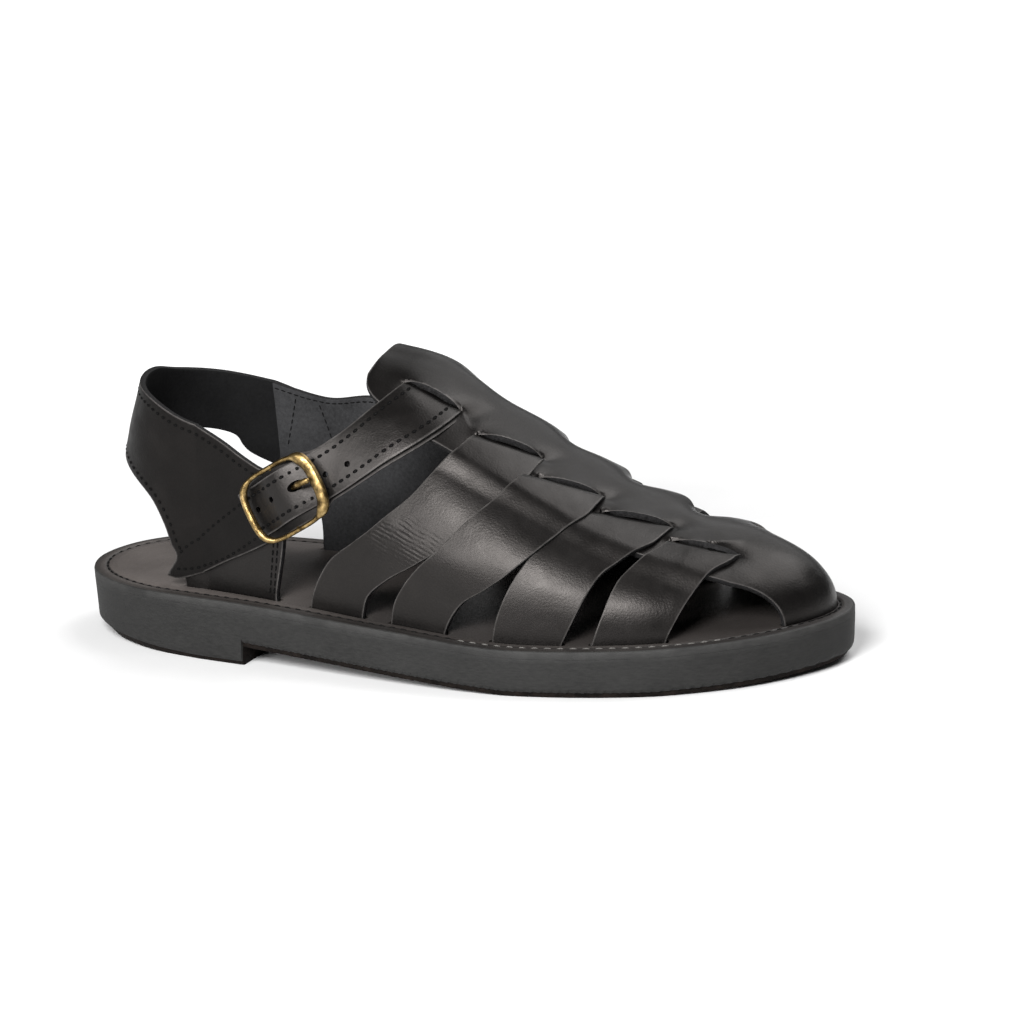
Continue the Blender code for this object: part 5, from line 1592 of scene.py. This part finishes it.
def strap_layer(name, upper, lower, top, thickness, materials):
    """One layer of the strap, punched; upper and lower say how far it stands out there."""
    grid, height, wanted = strap_grid(upper, lower)
    normals = last_normals(grid)
    across = np.linspace(0, 1, grid.shape[1])
    outer = grid + normals * (top + height[:, None] + ankle_crown(across))[..., None]
    width = (STRAP_EDGES[0] - STRAP_EDGES[1]) * np.minimum(across, 1 - across)
    edge = np.minimum(width[None, :], np.minimum(wanted, wanted[-1] - wanted)[:, None])
    points = outer.reshape(-1, 3)
    faces = faces_away(points, grid_faces(*outer.shape[:2]), normals.reshape(-1, 3))
    piece = new_piece(name, points, faces, materials, attributes={"edge": edge.ravel()})
    settle(as_leather(piece, thickness, 0.25))
    holes = [(*hole, HOLE_RADIUS, HOLE_RADIUS) for hole in HOLES] + [(*PRONG_HOLE, *PRONG_HOLE_SIZE)]
    # The pins carry the painted hole shade, and the cut passes it on to the walls of the holes.
    pins = turned_out(new_piece("pins", *together([pin(*hole) for hole in holes]), [HOLE_SHADE]))
    punch = piece.modifiers.new("holes", "BOOLEAN")
    punch.operation = "DIFFERENCE"
    punch.solver = "EXACT"
    punch.material_mode = "TRANSFER"
    punch.object = pins
    settle(piece)
    bpy.data.objects.remove(pins)
    piece.data.set_sharp_from_angle(angle=math.radians(40))
    keep(piece, ["ankle_strap"])


strap_layer("ankle_strap_leather", 0.0, 0.0, LEATHER, TOP_LAYER, LEATHER_FACES)
strap_layer("ankle_strap_lining", 0.5, 0.9, LEATHER - TOP_LAYER - 0.03, LEATHER - TOP_LAYER - 0.05,
            [DULL_FACES[0], LEATHER_FACES[1], LEATHER_FACES[2]])

# %% [markdown]
# ## Buckle
# The brass frame is a rounded rectangle with broad domed ends, thin sides and a low bar in
# the middle that carries the prong. A profile carried along a path gives both: the path is
# the frame's middle line, and the profile is an oval whose width changes along it.

# %% Buckle
BUCKLE_HALF_LENGTH = 13.8
BUCKLE_HALF_WIDTH = 12.2
BUCKLE_LOW = 0.5              # the frame sits this much lower than the line of the strap
BUCKLE_BOW = 1.2
BUCKLE_SQUARE = 4.2           # exponent of the frame's superellipse
FRONT_BAR = np.array([2.3, 1.6])      # half width and half height
REAR_BAR = np.array([1.35, 1.4])
SIDE_BAR = np.array([0.85, 1.0])
BUCKLE_OUT = 8.6
BUCKLE_TILT = 4.0
CENTRE_BAR_OUT = 5.7
CENTRE_BAR_RADIUS = 0.8
# Along the strap, out from the last, half width, half height
PRONG = [
    (1.3, 5.8, 0.9, 0.7), (2.8, 5.7, 0.9, 0.7), (4.2, 5.7, 0.9, 0.7), (5.6, 6.6, 1.0, 0.8),
    (6.9, 8.2, 1.0, 0.9), (8.2, 9.6, 1.1, 0.9), (9.8, 10.4, 1.1, 0.9), (11.6, 10.6, 1.1, 0.9),
    (13.2, 10.5, 1.1, 0.85), (14.4, 10.2, 0.9, 0.6),
]


def swept(centre, side, up_axis, half_width, half_height, closed, sections=20):
    """Oval sections along a path: centre + side*a*cos + up*b*sin."""
    angle = np.linspace(0, 2 * math.pi, sections, endpoint=False)
    ring = (centre[:, None] + side[:, None] * (half_width[:, None] * np.cos(angle))[..., None]
            + up_axis[:, None] * (half_height[:, None] * np.sin(angle))[..., None])
    faces = ring_faces(len(centre), sections, closed).tolist()
    if not closed:
        first = list(range(sections))
        last = [i + (len(centre) - 1) * sections for i in first]
        faces += [first[::-1], last]
    return ring.reshape(-1, 3), faces


def buckle_frame(count=240):
    """Frame and centre bar in one mesh."""
    angle = np.linspace(0, 2 * math.pi, count, endpoint=False) + math.pi / count
    power = 2 / BUCKLE_SQUARE
    along = BUCKLE_HALF_LENGTH * np.sign(np.cos(angle)) * np.abs(np.cos(angle)) ** power
    across = BUCKLE_HALF_WIDTH * np.sign(np.sin(angle)) * np.abs(np.sin(angle)) ** power
    bow = BUCKLE_BOW * (1 - (across / BUCKLE_HALF_WIDTH) ** 2)
    along = along + np.sign(along) * bow * smooth(np.abs(along) / BUCKLE_HALF_LENGTH)
    closed_path = np.c_[np.r_[along, along[0]], np.r_[across, across[0]]]
    length = run_length(closed_path)
    along, across = at_length(closed_path, length, np.linspace(0, length[-1], count, endpoint=False)).T
    end_share = smooth((np.abs(along) / BUCKLE_HALF_LENGTH - 0.62) / 0.33)
    height = BUCKLE_OUT - along * math.tan(math.radians(BUCKLE_TILT))
    centre = in_buckle(along, across - BUCKLE_LOW, height)
    side = unit(np.cross(np.roll(centre, -1, axis=0) - np.roll(centre, 1, axis=0), OUT_AXIS))
    end_bar = np.where(along[:, None] > 0, FRONT_BAR, REAR_BAR)
    half_width, half_height = (SIDE_BAR + (end_bar - SIDE_BAR) * end_share[:, None]).T
    up_axis = np.broadcast_to(OUT_AXIS, side.shape)
    frame_ring = swept(centre, side, up_axis, half_width, half_height, True)
    bar_across = np.linspace(-1, 1, 41) * BUCKLE_HALF_WIDTH
    drop = smooth((1 - np.abs(bar_across) / BUCKLE_HALF_WIDTH) / 0.2)
    bar_out = BUCKLE_OUT - 0.3 + (CENTRE_BAR_OUT - BUCKLE_OUT + 0.3) * drop
    bar_centre = in_buckle(0 * bar_across, bar_across - BUCKLE_LOW, bar_out)
    bar_side = np.broadcast_to(ALONG_AXIS, bar_centre.shape)
    bar_up = np.cross(unit(np.gradient(bar_centre, axis=0)), bar_side)
    radius = np.full(len(bar_across), CENTRE_BAR_RADIUS)
    bar = swept(bar_centre, bar_side, bar_up, radius, radius, False, 12)
    return turned_out(new_piece("buckle_frame_brass", *together([frame_ring, bar]), [BRASS]))


def buckle_prong():
    """Prong with rounded ends, from the centre bar onto the front bar."""
    rows = np.array(PRONG)
    length = run_length(rows[:, :2])
    wanted = np.linspace(0, length[-1], 50)
    columns = smooth_at(rows, length, wanted).T
    ends = np.minimum(wanted, length[-1] - wanted)
    tip = np.sqrt(np.clip(1 - (1 - np.clip(ends / 0.7, 0.02, 1)) ** 2, 0.03, 1))
    lean = PRONG_HOLE[1] - PRONG_SLANT * (columns[0] - PRONG_HOLE[0])
    centre = in_buckle(columns[0], lean, columns[1])
    across = np.broadcast_to(ACROSS_AXIS, centre.shape)
    up_axis = np.cross(unit(np.gradient(centre, axis=0)), across)
    rod = swept(centre, across, up_axis, columns[2] * tip, columns[3] * tip, False, 14)
    return turned_out(new_piece("buckle_prong_brass", *rod, [BRASS]))


keep(buckle_frame(), ["buckle_frame"])
keep(buckle_prong(), ["buckle_prong"])

# %% [markdown]
# ## Stitches
# Every seam is a row of short thread loops, and on black leather the dark holes show more than
# the thread. One stitch is a small rounded bar over a dark oval of painted shade for its hole, and
# the same bar and oval are copied along a path by whole arrays: each copy is turned to the path's
# direction.


# %% Stitch rows
SHADE_OVAL_LIFT = 0.14               # the ovals float this far over the surface


def square_to(vectors, others):
    """Unit vectors turned square to other unit vectors."""
    return unit(vectors - others * (vectors * others).sum(axis=1)[:, None])


def row_axes(path, normals, pitch):
    """Middles of the stitches of a row, and its directions along and out there."""
    length = run_length(path)
    count = int(length[-1] / pitch)
    middle = (np.arange(count) + 0.5) * length[-1] / count
    along = unit(at_length(path, length, middle + 0.4) - at_length(path, length, middle - 0.4))
    return at_length(path, length, middle), along, unit(at_length(normals, length, middle))


def spread_out(centre, along, out, u, v, w):
    """The points centre + along*u + side*v + out*w, for every centre."""
    side = np.cross(out, along)
    u, v, w = [np.asarray(value)[:, None] for value in (u, v, w)]
    return (centre[:, None] + along[:, None] * u + side[:, None] * v + out[:, None] * w).reshape(-1, 3)


def stitch_row(path, normals, pitch, length, radius, sunk):
    """Rounded bars along the path, with thinner ends that bend down."""
    centre, along, out = row_axes(path, normals, pitch)
    station = np.array([-1, -0.85, -0.45, 0, 0.45, 0.85, 1])
    girth = np.array([0.12, 0.7, 0.98, 1, 0.98, 0.7, 0.12])
    rings, sides = len(station), 6
    angle = np.linspace(0, 2 * math.pi, sides, endpoint=False)
    bend = radius * (0.35 - 0.9 * station ** 2) - sunk * radius
    u = np.repeat(station * length / 2, sides)
    v = (girth[:, None] * np.cos(angle)).ravel() * radius
    w = (girth[:, None] * np.sin(angle)).ravel() * radius + np.repeat(bend, sides)
    points = spread_out(centre, along, square_to(out, along), u, v, w)
    first = rings * sides * np.arange(len(centre))[:, None, None]
    faces = (ring_faces(rings, sides) + first).reshape(-1, 4)
    index = np.arange(rings * sides).reshape(rings, sides)
    ends = (np.stack([index[0][::-1], index[-1]]) + first).reshape(-1, sides)
    return points, faces.tolist() + ends.tolist()


def painted_shade_ovals(path, normals, pitch, half_length, half_width):
    """Painted shade: dark ovals a little above the surface, one under each stitch of a row of that pitch.
    """
    centre, along, out = row_axes(path, normals, pitch)
    angle = np.linspace(0, 2 * math.pi, 12, endpoint=False)
    points = spread_out(centre, square_to(along, out), out, half_length * np.cos(angle),
                        half_width * np.sin(angle), SHADE_OVAL_LIFT + 0 * angle)
    return points, np.arange(len(points)).reshape(-1, 12).tolist()


def stitches(name, paths, pitch, length, radius, material, nodes, sunk=0.3, hole=None):
    """One piece from several paths: rows of stitches, with a dark oval of painted shade under each if
    wanted.
    """
    threads = [stitch_row(*path, pitch, length, radius, sunk) for path in paths]
    holes = [painted_shade_ovals(*path, pitch, *hole) for path in paths] if hole else []
    points, faces = together(threads + holes)
    kinds = np.ones(len(faces), int)
    kinds[:sum(len(part_faces) for _, part_faces in threads)] = 0
    keep(new_piece(name, points, faces, [material, HOLE_SHADE], kinds), nodes)


# %% Stitches of the ankle strap
def edge_row(offset, rows):
    """Path along the ankle strap, offset millimetres in from one of its edges."""
    columns = ankle_grid.shape[1]
    share = offset / (STRAP_EDGES[0] - STRAP_EDGES[1])
    at = (columns - 1) * (share if offset > 0 else 1 + share)
    i = int(at)
    a = at - i
    path = ankle_grid[rows, i] * (1 - a) + ankle_grid[rows, i + 1] * a
    out = ankle_normals[rows, i] * (1 - a) + ankle_normals[rows, i + 1] * a
    return path + out * (LEATHER + ankle_height[rows] + ankle_crown(abs(share)))[:, None], out


ankle_rows = np.arange(3, len(ankle_grid) - 3)
stitches("ankle_strap_stitches", [edge_row(offset, ankle_rows) for offset in (3.0, -3.1)],
         3.1, 1.5, 0.28, BLACK_THREAD, ["ankle_strap"], 0.5, (1.0, 0.6))


# %% Stitches of the heel band, side tab and inner quarter
def wall_row(points, height, side=-1, facing=1):
    """Path on the heel wall through side-view points (x, z); facing -1 looks at the foot."""
    flat = np.array(unrolled(points, side))
    length = run_length(flat)
    flat = smooth_at(flat, length, np.arange(0, length[-1], 0.8))
    path, out = cup_points(flat, height + 0 * flat[:, 0])
    return path, out * facing


def inset_row(start, end, inset, height):
    """Path beside the band's edge from one point of the flat outline to another."""
    first, last = [int(np.hypot(*(BAND - point).T).argmin()) for point in (start, end)]
    run = BAND[np.arange(first, last + (len(BAND) if last < first else 0)) % len(BAND)]
    along = unit(np.gradient(run, axis=0))
    flat = run + inset * np.c_[along[:, 1], -along[:, 0]] * BAND_TURN
    return cup_points(flat, height + 0 * flat[:, 0])


BAND_TURN = -1 if (BAND[:, 0] * (np.roll(BAND, -1, 0) - np.roll(BAND, 1, 0))[:, 1]).sum() > 0 else 1
top_start, low_end = unrolled([(100, 70.3), (50.9, 36)], -1)
top_end = unrolled([(72, 82.4)], 1)[0]
band_paths = [
    inset_row(top_start, top_end, 3.0, BAND_FACE),
    inset_row((0, BACK_LOW), low_end, 2.5, BAND_FACE),
    wall_row([(50.6, 30.8), (56, 31.4), (62.5, 32.9), (72.8, 37.1), (79.4, 40.8), (85.5, 44.8),
              (96, 51)], BAND_FACE),
    wall_row([(52.5, 36.5), (55.4, 39.4), (68.3, 48.3), (81.5, 57.8), (90, 64)], BAND_FACE),
]
stitches("heel_band_stitches", band_paths, 3.0, 1.3, 0.26, BLACK_THREAD, ["heel_band"],
         0.5, (0.78, 0.5))
tab_paths = [wall_row([(top_x, 45), (top_x - 3.3, 24.5)], LEATHER) for top_x in (94.9, 93.1)]
stitches("side_tab_stitches", tab_paths, 2.6, 2.0, 0.24, BLACK_THREAD, ["side_tab"],
         0.5, (1.1, 0.32))
quarter_rows = [
    [(63.8, 84.5), (80, 80.4), (87.3, 79.6), (103, 81.3), (112, 79.4), (122, 73.4)],
    [(72.4, 81), (67.2, 62.2)], [(81.7, 79.1), (85, 68.2), (87, 60)],
]
quarter_paths = [wall_row(points, 0.0, 1, -1) for points in quarter_rows]
stitches("inner_quarter_stitches", quarter_paths, 2.6, 1.9, 0.22, BLACK_THREAD, ["inner_quarter"],
         0.4, (1.0, 0.25))


# %% [markdown]
# On the insole the thread lies in its groove: dark round the heel and along the inner side,
# pale on the outer side of the forefoot.

# %% Insole stitches
def groove_path(first, last):
    """Path and normals of the stitch groove between two stations."""
    ring = ring_at(STITCH_INSET, table(INSOLE_TOP, SOLE_X) - 0.2)[first:last]
    return ring, np.tile((0.0, 0.0, 1.0), (len(ring), 1))


near_side = np.flatnonzero((np.arange(len(STATIONS)) < PAIRS) & (SOLE_X > 168) & (SOLE_X < 262))
stitches("insole_stitches_pale", [groove_path(near_side[0], near_side[-1])], 4.4, 3.0, 0.36,
         GREY_THREAD, ["insole"])
stitches("insole_stitches_dark",
         [groove_path(0, near_side[0]), groove_path(near_side[-1], len(STATIONS) - 1)], 4.4, 3.0, 0.36,
         BLACK_THREAD, ["insole"])
